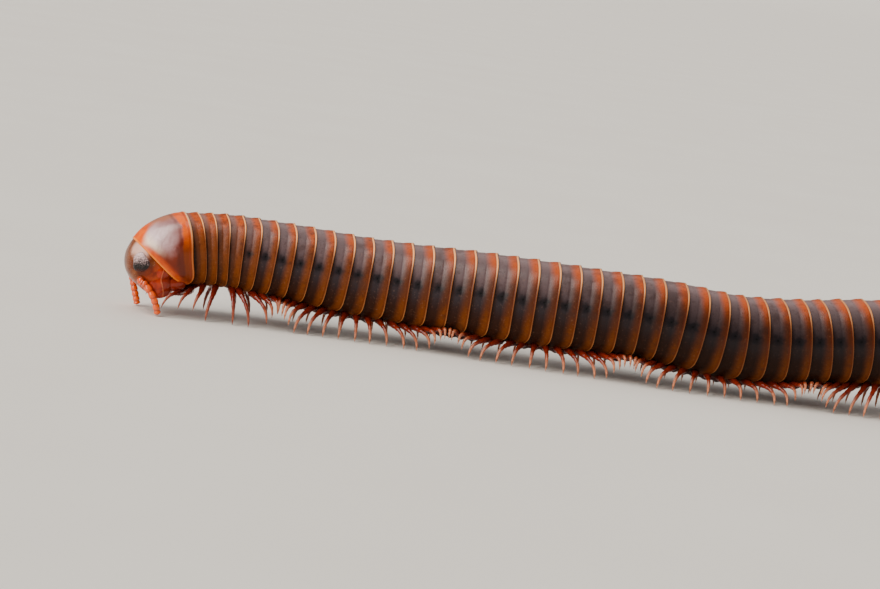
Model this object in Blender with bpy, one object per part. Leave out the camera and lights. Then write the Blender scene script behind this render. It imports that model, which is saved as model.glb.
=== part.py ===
# Spirobolus millipede, life size, walking, with its head to the left (-X) and its tail to the right.
# Lengths are in metres, +Z is up, and the floor is z = 0, where the standing feet are flat.
# A place along the body is a ring number: 1.0 is the rear rim of the collum, 2.0 that of ring 2.

import math

import bmesh
import bpy
import numpy as np
from mathutils import Matrix, Vector

MM = 0.001

# Body: driving sizes, each a list of (ring number, value) that a smooth curve joins
RINGS = 49
RING_PITCH_MM = [(1, 1.46), (5, 1.33), (8, 1.77), (13, 2.0), (26, 1.97), (32, 2.04), (36, 1.9), (44, 1.88),
                 (50, 1.5)]
HEADING_DEG = [(1, 20), (4, 5), (7, 7), (10, 5), (16, -1), (24, -1), (31, 5), (36, 6), (42, 13), (50, 28)]
RIM_LEAN_DEG = [(1, 9.8), (2, 6.2), (4, 3.8), (7, 0), (16, -1.5), (24, -1.2), (36, 0), (50, 0)]
CENTRE_HEIGHT_MM = [(1, 6.21), (4, 6.4), (8, 6.1), (12, 5.7), (18, 5.74), (22, 5.86), (26, 5.86),
                    (30, 5.38), (33, 5.85), (36, 6.68), (40, 6.9), (45, 6.2), (50, 5.6)]
RADIUS_MM = [(1, 3.6), (5, 3.73), (8, 3.91), (12, 4.05), (18, 4.34), (24, 4.24), (31, 4.3), (40, 4.22),
             (46, 4.03), (49, 3.55)]
START_X = -43.332 * MM
START_Y = -4.132 * MM
PATH_STEPS_PER_RING = 8

# Trunk: the rings from 2 on, in lengths of six, with the profile of one ring from its front to its rear rim
RINGS_PER_LENGTH = 6
RING_PROFILE = [(0.05, 0.965), (1.0, 1.0)]
TRUNK_SIDES = 16
BELLY_FLATTENING = 0.07
BELLY_HALF_ANGLE = 0.65
NODE_GAP = 0.3 * MM

# Legs: two pairs on a ring, but one pair on rings 2 to 5 and none on the last ring. Those of the first
# rings stand forward of them, at these ring numbers, the first two pairs on a breast under the collum.
FRONT_HIPS = {2: (0.3,), 3: (0.95,), 4: (1.95,), 5: (3.0,), 6: (4.35, 4.8), 7: (5.8, 6.45)}
LAST_LEGGED_RING = 48
DOUBLE_HIPS = (0.28, 0.76)
HIP_OFFSET = 0.85 * MM
HIP_DEPTH = 0.45 * MM
BREAST_HIP_PLACES = (0.3, 0.95, 1.95)
BREAST_HIP_SINKS_MM = (0.88, 0.68, 0.0)
FOOT_OFFSET = 3.45 * MM
LEG_ROOT_REACH = 2.1 * MM
LEG_ROOT_DROP = 0.5 * MM
SHIN_REACH = 1.95 * MM
LEG_THICKNESS = 0.54 * MM
FOOT_THICKNESS = 0.28 * MM
WAVE_RINGS = 8.6
WAVE_CENTRE = 7.6
WAVE_SHARPNESS = 0.96
STRIDE = 2.2 * MM
KNEE_SWING_SHARE = 0.35
SHIN_LEAN_SHARE = 0.4
LIFT = 1.65 * MM
LIFT_FULLNESS = 0.8
FRONT_STANCE_PLACES = (3.0, 4.9)
FRONT_LEAN_PLACES = (0.3, 0.95, 1.95, 3.0)
FRONT_LEANS_MM = (1.6, 0.85, 0.6, 0.3)
FRONT_LIFT = 0.9 * MM
FRONT_LIFT_PLACES = (2.1, 3.0)
LEG_SPANS = 4

# Head end, in the frame of ring 1's rear rim: forward, left and up
COLLUM_LENGTH = 5.6 * MM
COLLUM_ROWS = 9
COLLUM_ROW_ANGLE = math.radians(10)
COLLUM_TOP = (5.02 * MM, 1.54 * MM)
COLLUM_SLANT = math.radians(52)
COLLUM_UNDERSIDE = -2.95 * MM
BREAST_PLACE_MM = (0.25, 0.0, -3.62)
BREAST_HALF_SIZE_MM = (1.5, 1.3, 0.33)
BREAST_TILT = math.radians(12)
BREAST_FRONT_MM = 1.25
HEAD_LEVELS_MM = [(2.0, 4.3, 2.4, 0.6), (1.5, 4.98, 1.9, 1.5), (0.95, 5.43, 1.5, 2.05),
                  (0.3, 5.8, 1.3, 2.42), (-0.5, 6.0, 1.2, 2.6), (-1.3, 5.97, 1.2, 2.62),
                  (-2.1, 5.66, 1.3, 2.52), (-2.9, 5.07, 1.5, 2.28), (-3.5, 4.47, 1.8, 1.95),
                  (-3.95, 4.0, 2.1, 1.5), (-4.2, 3.7, 2.5, 0.9)]
HEAD_SIDES = 20
HEAD_SQUARENESS = 2.3
EYE_PLACE_MM = (5.0, 2.24, -0.58)
EYE_FACING = (0.55, 0.83, 0.08)
EYE_HALF_SIZE_MM = (0.74, 0.64, 0.32)
MANDIBLE_PLACE_MM = (3.3, 2.05, -2.85)
MANDIBLE_HALF_SIZE_MM = (0.98, 0.55, 1.15)
CHIN_PLACE_MM = (2.55, 0.0, -3.6)
CHIN_HALF_SIZE_MM = (0.95, 1.1, 0.45)

# Antennae: path points in the same frame, and the articles, from the root to the tip
ANTENNA_LEFT_MM = [(5.1, 2.25, -2.16), (4.69, 2.45, -2.54), (4.25, 2.9, -3.45), (4.0, 3.05, -4.35),
                   (3.9, 3.1, -5.36)]
ANTENNA_RIGHT_MM = [(5.1, -2.25, -2.16), (5.0, -2.25, -2.8), (4.96, -2.1, -3.6), (4.9, -1.9, -4.4),
                    (4.86, -1.75, -5.15)]
ANTENNA_ARTICLES = 7
ANTENNA_RADIUS = 0.33 * MM
ANTENNA_WAIST = 0.74

# Tail end, in the frame of the last ring's rear rim: (distance back, share of the radius)
TELSON_PROFILE_MM = [(0.3, 0.94), (1.0, 0.92), (1.8, 0.83), (2.6, 0.68), (3.1, 0.55)]
TELSON_SIDES = 16
TELSON_SLANT = 0.28
VALVE_CENTRE = 2.35 * MM
VALVE_HALF_SIZE_MM = (1.75, 1.55, 2.05)

SHARP_EDGE_ANGLE = math.radians(40)

SLATE_BROWN = (0.13, 0.06, 0.045, 1.0)
ORANGE = (0.62, 0.13, 0.02, 1.0)
HEAD_BROWN = (0.25, 0.09, 0.05, 1.0)
CHEEK_RED = (0.42, 0.06, 0.012, 1.0)
FEELER_ORANGE = (0.75, 0.16, 0.02, 1.0)
EYE_BLACK = (0.008, 0.008, 0.01, 1.0)


def smooth(stations, places):
    """Cubic curve through (place, value) stations, whose slope at each is that of its neighbours."""
    knots = np.array([station[0] for station in stations], float)
    values = np.array([station[1] for station in stations], float)
    slopes = np.gradient(values, knots)
    places = np.clip(np.asarray(places, float), knots[0], knots[-1])
    start = np.clip(np.searchsorted(knots, places) - 1, 0, len(knots) - 2)
    width = knots[start + 1] - knots[start]
    t = (places - knots[start]) / width
    rise = values[start] * (2 * t ** 3 - 3 * t ** 2 + 1) + values[start + 1] * (3 * t ** 2 - 2 * t ** 3)
    lean = slopes[start] * (t ** 3 - 2 * t ** 2 + t) + slopes[start + 1] * (t ** 3 - t ** 2)
    return rise + lean * width


def body_path():
    """Ring numbers, centres and tailward directions along the body, added up step by step."""
    places = np.linspace(1, RINGS + 1, RINGS * PATH_STEPS_PER_RING + 1)
    pitch = smooth(RING_PITCH_MM, places) * MM
    heading = np.radians(smooth(HEADING_DEG, places))
    steps = (pitch[1:] + pitch[:-1]) / 2 / PATH_STEPS_PER_RING
    turns = (heading[1:] + heading[:-1]) / 2
    x = START_X + np.concatenate(([0.0], np.cumsum(steps * np.cos(turns))))
    y = START_Y + np.concatenate(([0.0], np.cumsum(steps * np.sin(turns))))
    z = smooth(CENTRE_HEIGHT_MM, places) * MM
    centres = np.stack([x, y, z], axis=1)
    return places, centres, np.gradient(centres, axis=0)


PATH_PLACES, PATH_CENTRES, PATH_TANGENTS = body_path()


def ring_frame(place):
    """Matrix of the body at a ring number: x runs to the tail, y to the animal's right, z up its back.
    Ahead of ring number 1 it runs straight on."""
    centre = Vector([np.interp(place, PATH_PLACES, PATH_CENTRES[:, axis]) for axis in range(3)])
    back = Vector([np.interp(place, PATH_PLACES, PATH_TANGENTS[:, axis]) for axis in range(3)]).normalized()
    right = Vector((0, 0, 1)).cross(back).normalized()
    lean = math.radians(float(smooth(RIM_LEAN_DEG, place)))
    back = Matrix.Rotation(-lean, 3, right) @ back
    up = back.cross(right)
    turned = Matrix((back, right, up)).transposed().to_4x4()
    before_start = min(place - 1.0, 0.0) * RING_PITCH_MM[0][1] * MM
    return Matrix.Translation(centre + back * before_start) @ turned


def head_point(forward_left_up):
    """World place of a point given in millimetres forward, left and up of the collum's rear rim."""
    forward, left, up = forward_left_up
    return ring_frame(1.0) @ (Vector((-forward, -left, up)) * MM)


def body_radius(place):
    return float(smooth(RADIUS_MM, place)) * MM


def new_collection(name):
    collection = bpy.data.collections.new(name)
    bpy.context.scene.collection.children.link(collection)
    return collection


def make_material(name, colour, roughness):
    material = bpy.data.materials.new(name)
    material.use_nodes = True
    shader = material.node_tree.nodes["Principled BSDF"]
    shader.inputs["Base Color"].default_value = colour
    shader.inputs["Roughness"].default_value = roughness
    shader.inputs["Metallic"].default_value = 0.0
    return material


def mesh_object(name, shape, collection):
    """Object from a bmesh, triangulated, with its faces turned outwards; the bmesh is freed."""
    bmesh.ops.triangulate(shape, faces=shape.faces)
    bmesh.ops.recalc_face_normals(shape, faces=shape.faces)
    mesh = bpy.data.meshes.new(name)
    shape.to_mesh(mesh)
    shape.free()
    piece = bpy.data.objects.new(name, mesh)
    collection.objects.link(piece)
    return piece


def loft(rows):
    """Closed skin through rows of points, each row a closed outline, with a flat cap on both ends."""
    shape = bmesh.new()
    loops = [[shape.verts.new(point) for point in row] for row in rows]
    sides = len(loops[0])
    for near, far in zip(loops, loops[1:]):
        for side in range(sides):
            following = (side + 1) % sides
            shape.faces.new((near[side], near[following], far[following], far[side]))
    shape.faces.new(loops[0])
    shape.faces.new(loops[-1])
    return shape


def cut_flat(shape, point, normal):
    """Removes what lies on the side that normal points to, and closes the cut with a flat face."""
    every = list(shape.verts) + list(shape.edges) + list(shape.faces)
    cut = bmesh.ops.bisect_plane(shape, geom=every, dist=1e-7, plane_co=point, plane_no=normal,
                                 clear_outer=True)
    rim = [item for item in cut["geom_cut"] if isinstance(item, bmesh.types.BMEdge)]
    bmesh.ops.edgeloop_fill(shape, edges=rim)


def ellipsoid(half_size, frame, grow=0.0, segments=12, rings=7):
    """Ball of the given half sizes along the frame's axes, each made longer by grow."""
    shape = bmesh.new()
    sizes = Matrix.Diagonal([size + grow for size in half_size] + [1.0])
    bmesh.ops.create_uvsphere(shape, u_segments=segments, v_segments=rings, radius=1.0, matrix=frame @ sizes)
    return shape


def keep_largest(mesh):
    """Drops every closed surface of a mesh but the one with the most faces."""
    shape = bmesh.new()
    shape.from_mesh(mesh)
    unseen = set(shape.verts)
    largest = set()
    while unseen:
        group = {unseen.pop()}
        edge_of_group = list(group)
        while edge_of_group:
            vertex = edge_of_group.pop()
            for edge in vertex.link_edges:
                other = edge.other_vert(vertex)
                if other in unseen:
                    unseen.remove(other)
                    group.add(other)
                    edge_of_group.append(other)
        if len(group) > len(largest):
            largest = group
    scraps = [vertex for vertex in shape.verts if vertex not in largest]
    bmesh.ops.delete(shape, geom=scraps, context="VERTS")
    bmesh.ops.triangulate(shape, faces=shape.faces)
    shape.to_mesh(mesh)
    shape.free()


def combine(piece, others, operation):
    """Joins or cuts a piece with a collection of closed meshes in one Boolean, and applies it."""
    boolean = piece.modifiers.new("combine", "BOOLEAN")
    boolean.operation = operation
    boolean.operand_type = "COLLECTION"
    boolean.collection = others
    boolean.solver = "EXACT"
    graph = bpy.context.evaluated_depsgraph_get()
    graph.update()
    result = bpy.data.meshes.new_from_object(piece.evaluated_get(graph))
    piece.modifiers.remove(boolean)
    piece.data = result
    keep_largest(result)


def discard(collection):
    for piece in list(collection.objects):
        bpy.data.objects.remove(piece)
    bpy.data.collections.remove(collection)


def outline(place, share, sides):
    """Outline of the body at a ring number: a circle, flatter along the belly, as world points."""
    frame = ring_frame(place)
    radius = body_radius(place) * share
    points = []
    for side in range(sides):
        angle = 2 * math.pi * side / sides
        from_belly = (math.pi - abs(angle - math.pi)) if side else 0.0
        flat = 1 - BELLY_FLATTENING * math.exp(-(from_belly / BELLY_HALF_ANGLE) ** 2)
        points.append(frame @ Vector((0, radius * flat * math.sin(angle), -radius * flat * math.cos(angle))))
    return points


def trunk_rows(first, last):
    """Outlines of the rings first to last: each ring widens to its rear rim and steps in behind it."""
    rows = []
    for ring in range(first, last + 1):
        pitch = float(smooth(RING_PITCH_MM, ring - 0.5)) * MM
        for share_back, share_wide in RING_PROFILE:
            starts_length = ring == first and share_back == RING_PROFILE[0][0]
            back = NODE_GAP / pitch if starts_length else share_back
            rows.append(outline(ring - 1 + back, share_wide, TRUNK_SIDES))
    return rows


def hip_places(ring):
    """Ring numbers at which a ring carries its pairs of legs."""
    if ring > LAST_LEGGED_RING:
        return []
    if ring in FRONT_HIPS:
        return list(FRONT_HIPS[ring])
    return [ring - 1 + share for share in DOUBLE_HIPS]


def leg_curve(name, place, side, collection):
    """One leg as a tapering curve; its foot swings and lifts with the wave that runs along the body."""
    frame = ring_frame(place)
    phase = 2 * math.pi * (place - WAVE_CENTRE) / WAVE_RINGS
    swing = -STRIDE * math.asin(WAVE_SHARPNESS * math.sin(phase)) / math.asin(WAVE_SHARPNESS)
    lift = LIFT * max(0.0, math.cos(phase)) ** LIFT_FULLNESS
    front = float(np.interp(place, FRONT_STANCE_PLACES, (1.0, 0.0)))
    lean = float(np.interp(place, FRONT_LEAN_PLACES, FRONT_LEANS_MM)) * MM
    swing = swing * (1 - front) - lean * front
    raised = float(np.interp(place, FRONT_LIFT_PLACES, (1.0, 0.0)))
    lift = lift * (1 - front) ** 2 + FRONT_LIFT * raised
    belly = body_radius(place) * (1 - BELLY_FLATTENING)
    sink = float(np.interp(place, BREAST_HIP_PLACES, BREAST_HIP_SINKS_MM)) * MM
    hip = frame @ Vector((0, side * HIP_OFFSET, HIP_DEPTH - belly - sink))
    foot = frame @ Vector((swing, side * FOOT_OFFSET, 0))
    foot.z = lift
    sideways = (frame.to_3x3() @ Vector((0, side, 0))).normalized()
    back = (frame.to_3x3() @ Vector((1, 0, 0))).normalized()
    curve = bpy.data.curves.new(name, "CURVE")
    curve.dimensions = "3D"
    curve.resolution_u = LEG_SPANS
    curve.bevel_depth = LEG_THICKNESS / 2
    curve.bevel_resolution = 0
    curve.use_fill_caps = True
    spline = curve.splines.new("BEZIER")
    spline.bezier_points.add(1)
    root, tip = spline.bezier_points
    for point in (root, tip):
        point.handle_left_type = "FREE"
        point.handle_right_type = "FREE"
    drop = Vector((0, 0, sink - LEG_ROOT_DROP * (1 + front)))
    root.co = hip
    root.handle_right = hip + sideways * LEG_ROOT_REACH + drop + back * swing * KNEE_SWING_SHARE
    root.handle_left = hip - sideways * LEG_ROOT_REACH
    tip.co = foot
    shin = Vector((0, 0, SHIN_REACH)) - back * swing * raised * SHIN_LEAN_SHARE
    tip.handle_left = foot + shin
    tip.handle_right = foot - shin
    tip.radius = FOOT_THICKNESS / LEG_THICKNESS
    piece = bpy.data.objects.new(name, curve)
    collection.objects.link(piece)
    return piece


def curves_to_meshes(collection):
    """Replaces each curve object in a collection with a closed mesh of the same shape."""
    graph = bpy.context.evaluated_depsgraph_get()
    graph.update()
    for piece in list(collection.objects):
        mesh = bpy.data.meshes.new_from_object(piece.evaluated_get(graph))
        shape = bmesh.new()
        shape.from_mesh(mesh)
        bmesh.ops.remove_doubles(shape, verts=shape.verts, dist=1e-7)
        closed = mesh_object(piece.name + "_closed", shape, collection)
        closed.matrix_world = piece.matrix_world
        bpy.data.objects.remove(piece)


def add_breast(collection):
    """Low flat block under the collum, tilted up towards ring 2, that carries the first legs."""
    frame = upright_frame(BREAST_PLACE_MM) @ Matrix.Rotation(-BREAST_TILT, 4, "Y")
    shape = ellipsoid([half * MM for half in BREAST_HALF_SIZE_MM], frame)
    cut_flat(shape, head_point((BREAST_FRONT_MM, 0, 0)), ring_frame(1.0).to_3x3() @ Vector((-1, 0, 0)))
    mesh_object("breast", shape, collection)


def build_trunk(number, parts):
    """One length of the trunk: its rings in one skin, with all of their legs joined on."""
    first = 2 + (number - 1) * RINGS_PER_LENGTH
    last = first + RINGS_PER_LENGTH - 1
    trunk = mesh_object(f"trunk_{number}", loft(trunk_rows(first, last)), parts)
    legs = new_collection(f"legs_of_trunk_{number}")
    for ring in range(first, last + 1):
        for pair, place in enumerate(hip_places(ring)):
            for side, label in ((-1, "left"), (1, "right")):
                leg_curve(f"leg_{ring}_{pair}_{label}", place, side, legs)
    curves_to_meshes(legs)
    if number == 1:
        add_breast(legs)
    combine(trunk, legs, "UNION")
    discard(legs)
    trunk.data.materials.append(make_material(f"trunk_{number}_shell", SLATE_BROWN, 0.25))
    return trunk


def build_collum(parts):
    """Shield behind the head: a dome in front of ring 1's rim, cut on a slant where the head comes out."""
    frame = ring_frame(1.0)
    radius = body_radius(1.0)
    rows = []
    for step in range(COLLUM_ROWS):
        angle = COLLUM_ROW_ANGLE * step
        ring = []
        for side in range(HEAD_SIDES):
            turn = 2 * math.pi * side / HEAD_SIDES
            across = radius * math.cos(angle)
            forward = COLLUM_LENGTH * math.sin(angle)
            spot = Vector((-forward, across * math.sin(turn), -across * math.cos(turn)))
            ring.append(frame @ spot)
        rows.append(ring)
    shape = loft(rows)
    slant = Vector((-math.sin(COLLUM_SLANT), 0, -math.cos(COLLUM_SLANT)))
    edge = frame @ Vector((-COLLUM_TOP[0], 0, COLLUM_TOP[1]))
    cut_flat(shape, edge, frame.to_3x3() @ slant)
    cut_flat(shape, frame @ Vector((0, 0, COLLUM_UNDERSIDE)), frame.to_3x3() @ Vector((0, 0, -1)))
    collum = mesh_object("collum", shape, parts)
    collum.data.materials.append(make_material("collum_shell", ORANGE, 0.25))
    return collum


def superellipse(angle, squareness):
    """Unit outline at an angle, squarer than a circle where squareness is over 2."""
    x = math.copysign(abs(math.cos(angle)) ** (2 / squareness), math.cos(angle))
    y = math.copysign(abs(math.sin(angle)) ** (2 / squareness), math.sin(angle))
    return x, y


def head_shape():
    """Head as level slices, from the crown to the lip, cut parallel to the collum's slant."""
    rows = []
    for up, front, rear, half_width in HEAD_LEVELS_MM:
        row = []
        for side in range(HEAD_SIDES):
            along, across = superellipse(2 * math.pi * side / HEAD_SIDES, HEAD_SQUARENESS)
            forward = (front + rear) / 2 + (front - rear) / 2 * along
            row.append(head_point((forward, half_width * across, up)))
        rows.append(row)
    shape = loft(rows)
    frame = ring_frame(1.0)
    slant = frame.to_3x3() @ Vector((-math.sin(COLLUM_SLANT), 0, -math.cos(COLLUM_SLANT)))
    edge = frame @ Vector((-COLLUM_TOP[0], 0, COLLUM_TOP[1]))
    cut_flat(shape, edge + slant * NODE_GAP, -slant)
    return shape


def facing_frame(place_mm, facing):
    """Matrix at a head place whose z axis looks along a direction given forward, left and up."""
    frame = ring_frame(1.0)
    forward, left, up = facing
    outward = (frame.to_3x3() @ Vector((-forward, -left, up))).normalized()
    turned = outward.to_track_quat("Z", "Y").to_matrix().to_4x4()
    return Matrix.Translation(head_point(place_mm)) @ turned


def upright_frame(place_mm):
    frame = ring_frame(1.0).copy()
    frame.translation = head_point(place_mm)
    return frame


def head_details():
    """Names, frames, half sizes and finishes of the pieces that are let into the head."""
    details = []
    for sign, label in ((1, "left"), (-1, "right")):
        forward, left, up = EYE_PLACE_MM
        eye = facing_frame((forward, sign * left, up), (EYE_FACING[0], sign * EYE_FACING[1], EYE_FACING[2]))
        details.append((f"eye_{label}", eye, [half * MM for half in EYE_HALF_SIZE_MM], EYE_BLACK))
        forward, left, up = MANDIBLE_PLACE_MM
        size = [half * MM for half in MANDIBLE_HALF_SIZE_MM]
        details.append((f"mandible_{label}", upright_frame((forward, sign * left, up)), size, CHEEK_RED))
    size = [half * MM for half in CHIN_HALF_SIZE_MM]
    details.append(("gnathochilarium", upright_frame(CHIN_PLACE_MM), size, CHEEK_RED))
    return details


def build_head(parts, cutters):
    """Head with a shallow pocket for each eye, each mandible and the chin plate, and those pieces."""
    head = mesh_object("head", head_shape(), parts)
    pockets = bpy.data.collections.new("head_pockets")
    cutters.children.link(pockets)
    for name, frame, size, colour in head_details():
        piece = mesh_object(name, ellipsoid(size, frame), parts)
        piece.data.materials.append(make_material(name + "_surface", colour, 0.2))
        pocket = mesh_object(name + "_pocket", ellipsoid(size, frame, grow=NODE_GAP), pockets)
        pocket.hide_render = True
        pocket.display_type = "WIRE"
    combine(head, pockets, "DIFFERENCE")
    head.data.materials.append(make_material("head_shell", HEAD_BROWN, 0.25))
    return head


def bezier_chain(points, count):
    """Evenly spread points on the smooth curve through a few world points."""
    knots = np.linspace(0, 1, len(points))
    places = np.linspace(0, 1, count)
    curves = [smooth(list(zip(knots, [point[axis] for point in points])), places) for axis in range(3)]
    return np.stack(curves, axis=1)


def build_antenna(name, path_mm, parts):
    """Antenna of seven bulging articles, narrow at each joint, along a smooth path."""
    count = ANTENNA_ARTICLES * 2 + 1
    line = bezier_chain([head_point(point) for point in path_mm], count)
    curve = bpy.data.curves.new(name, "CURVE")
    curve.dimensions = "3D"
    curve.bevel_depth = ANTENNA_RADIUS
    curve.bevel_resolution = 1
    curve.use_fill_caps = True
    spline = curve.splines.new("POLY")
    spline.points.add(count - 1)
    for index, point in enumerate(spline.points):
        point.co = (*line[index], 1.0)
        point.radius = 1.0 if index % 2 else ANTENNA_WAIST
    bare = new_collection(name + "_curve")
    bare.objects.link(bpy.data.objects.new(name, curve))
    curves_to_meshes(bare)
    antenna = bare.objects[0]
    antenna.name = name
    bare.objects.unlink(antenna)
    parts.objects.link(antenna)
    bpy.data.collections.remove(bare)
    antenna.data.materials.append(make_material(name + "_shell", FEELER_ORANGE, 0.25))
    return antenna


def build_telson(parts, cutters):
    """Last, legless segment: a cup that narrows to a blunt point above, with two valves set in it."""
    frame = ring_frame(RINGS)
    radius = body_radius(RINGS)
    rows = []
    for back, share in TELSON_PROFILE_MM:
        row = []
        for side in range(TELSON_SIDES):
            turn = 2 * math.pi * side / TELSON_SIDES
            up = -radius * share * math.cos(turn)
            slanted = back * MM + TELSON_SLANT * up * back / TELSON_PROFILE_MM[-1][0]
            row.append(frame @ Vector((slanted, radius * share * math.sin(turn), up)))
        rows.append(row)
    telson = mesh_object("telson", loft(rows), parts)
    telson.data.materials.append(make_material("telson_shell", SLATE_BROWN, 0.25))
    centre = frame @ Matrix.Translation((VALVE_CENTRE, 0, 0))
    size = [half * MM for half in VALVE_HALF_SIZE_MM]
    pockets = bpy.data.collections.new("telson_pocket")
    cutters.children.link(pockets)
    pocket = mesh_object("valve_pocket", ellipsoid(size, centre, grow=NODE_GAP), pockets)
    pocket.hide_render = True
    pocket.display_type = "WIRE"
    combine(telson, pockets, "DIFFERENCE")
    for side, label in ((-1, "left"), (1, "right")):
        shape = ellipsoid(size, centre)
        outward = frame.to_3x3() @ Vector((0, side, 0))
        cut_flat(shape, centre.translation + outward * NODE_GAP / 2, -outward)
        valve = mesh_object(f"anal_valve_{label}", shape, parts)
        valve.data.materials.append(make_material(f"anal_valve_{label}_shell", SLATE_BROWN, 0.25))
    return telson


def shade_round(piece):
    piece.data.shade_smooth()
    piece.data.set_sharp_from_angle(angle=SHARP_EDGE_ANGLE)


def build_all():
    for old in list(bpy.data.objects):
        bpy.data.objects.remove(old)
    parts = new_collection("spirobolus_millipede")
    cutters = new_collection("cutters")
    build_head(parts, cutters)
    build_antenna("antenna_left", ANTENNA_LEFT_MM, parts)
    build_antenna("antenna_right", ANTENNA_RIGHT_MM, parts)
    build_collum(parts)
    for number in range(1, (RINGS - 1) // RINGS_PER_LENGTH + 1):
        build_trunk(number, parts)
    build_telson(parts, cutters)
    for piece in parts.objects:
        shade_round(piece)


build_all()
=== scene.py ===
# Looks of the spirobolus millipede: glossy banded rings, jointed legs, the head, and a plain pale studio.
# Lengths are in metres, or in millimetres where a name ends in MM. A place along the body is a ring number,
# as in the solids: 1.0 is the collum's rear rim.

import math

import bpy
import numpy as np
from mathutils import Matrix


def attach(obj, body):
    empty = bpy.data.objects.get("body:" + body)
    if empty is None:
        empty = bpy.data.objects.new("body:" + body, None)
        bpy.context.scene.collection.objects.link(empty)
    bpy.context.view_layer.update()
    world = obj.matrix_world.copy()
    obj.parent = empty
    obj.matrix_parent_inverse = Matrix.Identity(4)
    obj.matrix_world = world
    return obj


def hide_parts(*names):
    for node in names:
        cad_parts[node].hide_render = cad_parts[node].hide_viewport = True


MM = 0.001
WORLD_UP = np.array([0.0, 0.0, 1.0])
SEED = 11

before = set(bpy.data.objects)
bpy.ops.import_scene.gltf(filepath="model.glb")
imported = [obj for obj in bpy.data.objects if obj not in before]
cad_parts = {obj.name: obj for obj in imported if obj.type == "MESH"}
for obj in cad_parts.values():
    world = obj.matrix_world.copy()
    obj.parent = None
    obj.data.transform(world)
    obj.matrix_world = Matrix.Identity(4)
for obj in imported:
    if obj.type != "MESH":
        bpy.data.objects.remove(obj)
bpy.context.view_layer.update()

# Body sizes, the same as those of the solids. Each pair in a list is a place and the value there.
RINGS = 49
LAST_PLACE = RINGS + 1
RING_PITCH_MM = [(1, 1.46), (5, 1.33), (8, 1.77), (13, 2.0), (26, 1.97), (32, 2.04), (36, 1.9), (44, 1.88),
                 (50, 1.5)]
HEADING_DEG = [(1, 20), (4, 5), (7, 7), (10, 5), (16, -1), (24, -1), (31, 5), (36, 6), (42, 13), (50, 28)]
RIM_LEAN_DEG = [(1, 9.8), (2, 6.2), (4, 3.8), (7, 0), (16, -1.5), (24, -1.2), (36, 0), (50, 0)]
CENTRE_HEIGHT_MM = [(1, 6.21), (4, 6.4), (8, 6.1), (12, 5.7), (18, 5.74), (22, 5.86), (26, 5.86),
                    (30, 5.38), (33, 5.85), (36, 6.68), (40, 6.9), (45, 6.2), (50, 5.6)]
RADIUS_MM = [(1, 3.6), (5, 3.73), (8, 3.91), (12, 4.05), (18, 4.34), (24, 4.24), (31, 4.3), (40, 4.22),
             (46, 4.03), (49, 3.55)]
START_X = -43.332 * MM
START_Y = -4.132 * MM
STEPS_PER_RING = 8
RINGS_PER_LENGTH = 6

# One ring: (share of its length, share of its radius) round its wall, from under the rim in front of it.
# Hook and dip are the shares of its length by which the rim is drawn forward at the belly and on the back.
RING_WALL = [(-0.15, 0.938), (-0.13, 0.949), (0.0, 0.959), (0.12, 0.9625), (0.3, 0.967), (0.41, 0.969),
             (0.45, 0.9668), (0.5, 0.9697), (0.58, 0.9775), (0.67, 0.9855), (0.77, 0.992), (0.88, 0.9975),
             (0.925, 0.9975), (0.95, 1.0005), (0.985, 1.0015), (1.003, 0.996), (1.006, 0.986), (0.985, 0.974),
             (0.93, 0.966), (0.6, 0.952), (0.2, 0.94), (-0.1, 0.932)]
RING_WALL_ROWS = 48
RING_COLUMNS = 144
BELLY_FLATTENING = 0.07
BELLY_HALF_ANGLE = 0.65
RIM_HOOK_SHARE = 0.95
RIM_HOOK_ANGLE = 0.46
RIM_DIP_SHARES = [(2, 0.14), (4, 0.32), (6, 0.32), (9, 0.2), (24, 0.18), (36, 0.16), (50, 0.06)]
RIM_DIP_ANGLE = 0.49
RING_WAVINESS = 0.0025
FIRST_PORE_RING = 6
FLANK_LINES_PER_TURN = 150.0
HOOP_RATE = 120.0

# Legs, the same stance as that of the solids. The front hips are the places of each ring's pairs; joints and
# widths are at shares of a leg's length.
FRONT_HIPS = {2: (0.3,), 3: (0.95,), 4: (1.95,), 5: (3.0,), 6: (4.35, 4.8), 7: (5.8, 6.45)}
LAST_LEGGED_RING = 48
DOUBLE_HIPS = (0.28, 0.76)
HIP_OFFSET = 0.85 * MM
HIP_DEPTH = 0.45 * MM
BREAST_HIP_PLACES = (0.3, 0.95, 1.95)
BREAST_HIP_SINKS_MM = (0.88, 0.68, 0.0)
FOOT_OFFSET = 3.45 * MM
LEG_ROOT_REACH = 2.1 * MM
LEG_ROOT_DROP = 0.5 * MM
SHIN_REACH = 1.95 * MM
WAVE_RINGS = 8.6
WAVE_CENTRE = 7.6
WAVE_SHARPNESS = 0.96
STRIDE = 2.2 * MM
KNEE_SWING_SHARE = 0.35
SHIN_LEAN_SHARE = 0.4
LIFT = 1.65 * MM
LIFT_FULLNESS = 0.8
FRONT_STANCE_PLACES = (3.0, 4.9)
FRONT_LEAN_PLACES = (0.3, 0.95, 1.95, 3.0)
FRONT_LEANS_MM = (1.6, 0.85, 0.6, 0.3)
FRONT_LIFT = 0.9 * MM
FRONT_LIFT_PLACES = (2.1, 3.0)
LEG_JOINTS = np.array([0.0, 0.15, 0.33, 0.5, 0.65, 0.8, 0.93, 1.0])
LEG_HALF_WIDTHS_MM = [(0.0, 0.22), (0.05, 0.36), (0.15, 0.38), (0.26, 0.29), (0.36, 0.235), (0.5, 0.2),
                      (0.65, 0.165), (0.8, 0.125), (0.93, 0.075), (1.0, 0.012)]
LEG_JOINT_SWELL = 0.16
FRONT_ROOT_SLIMNESS = 0.25
FRONT_ROOT_REACH = 0.22
LEG_STRAIGHTNESS = 0.65
LEG_ROWS = 29
LEG_SIDES = 8
FOOT_CLEARANCE = 0.015 * MM
FOOT_UNEVENNESS = 0.07 * MM
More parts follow.
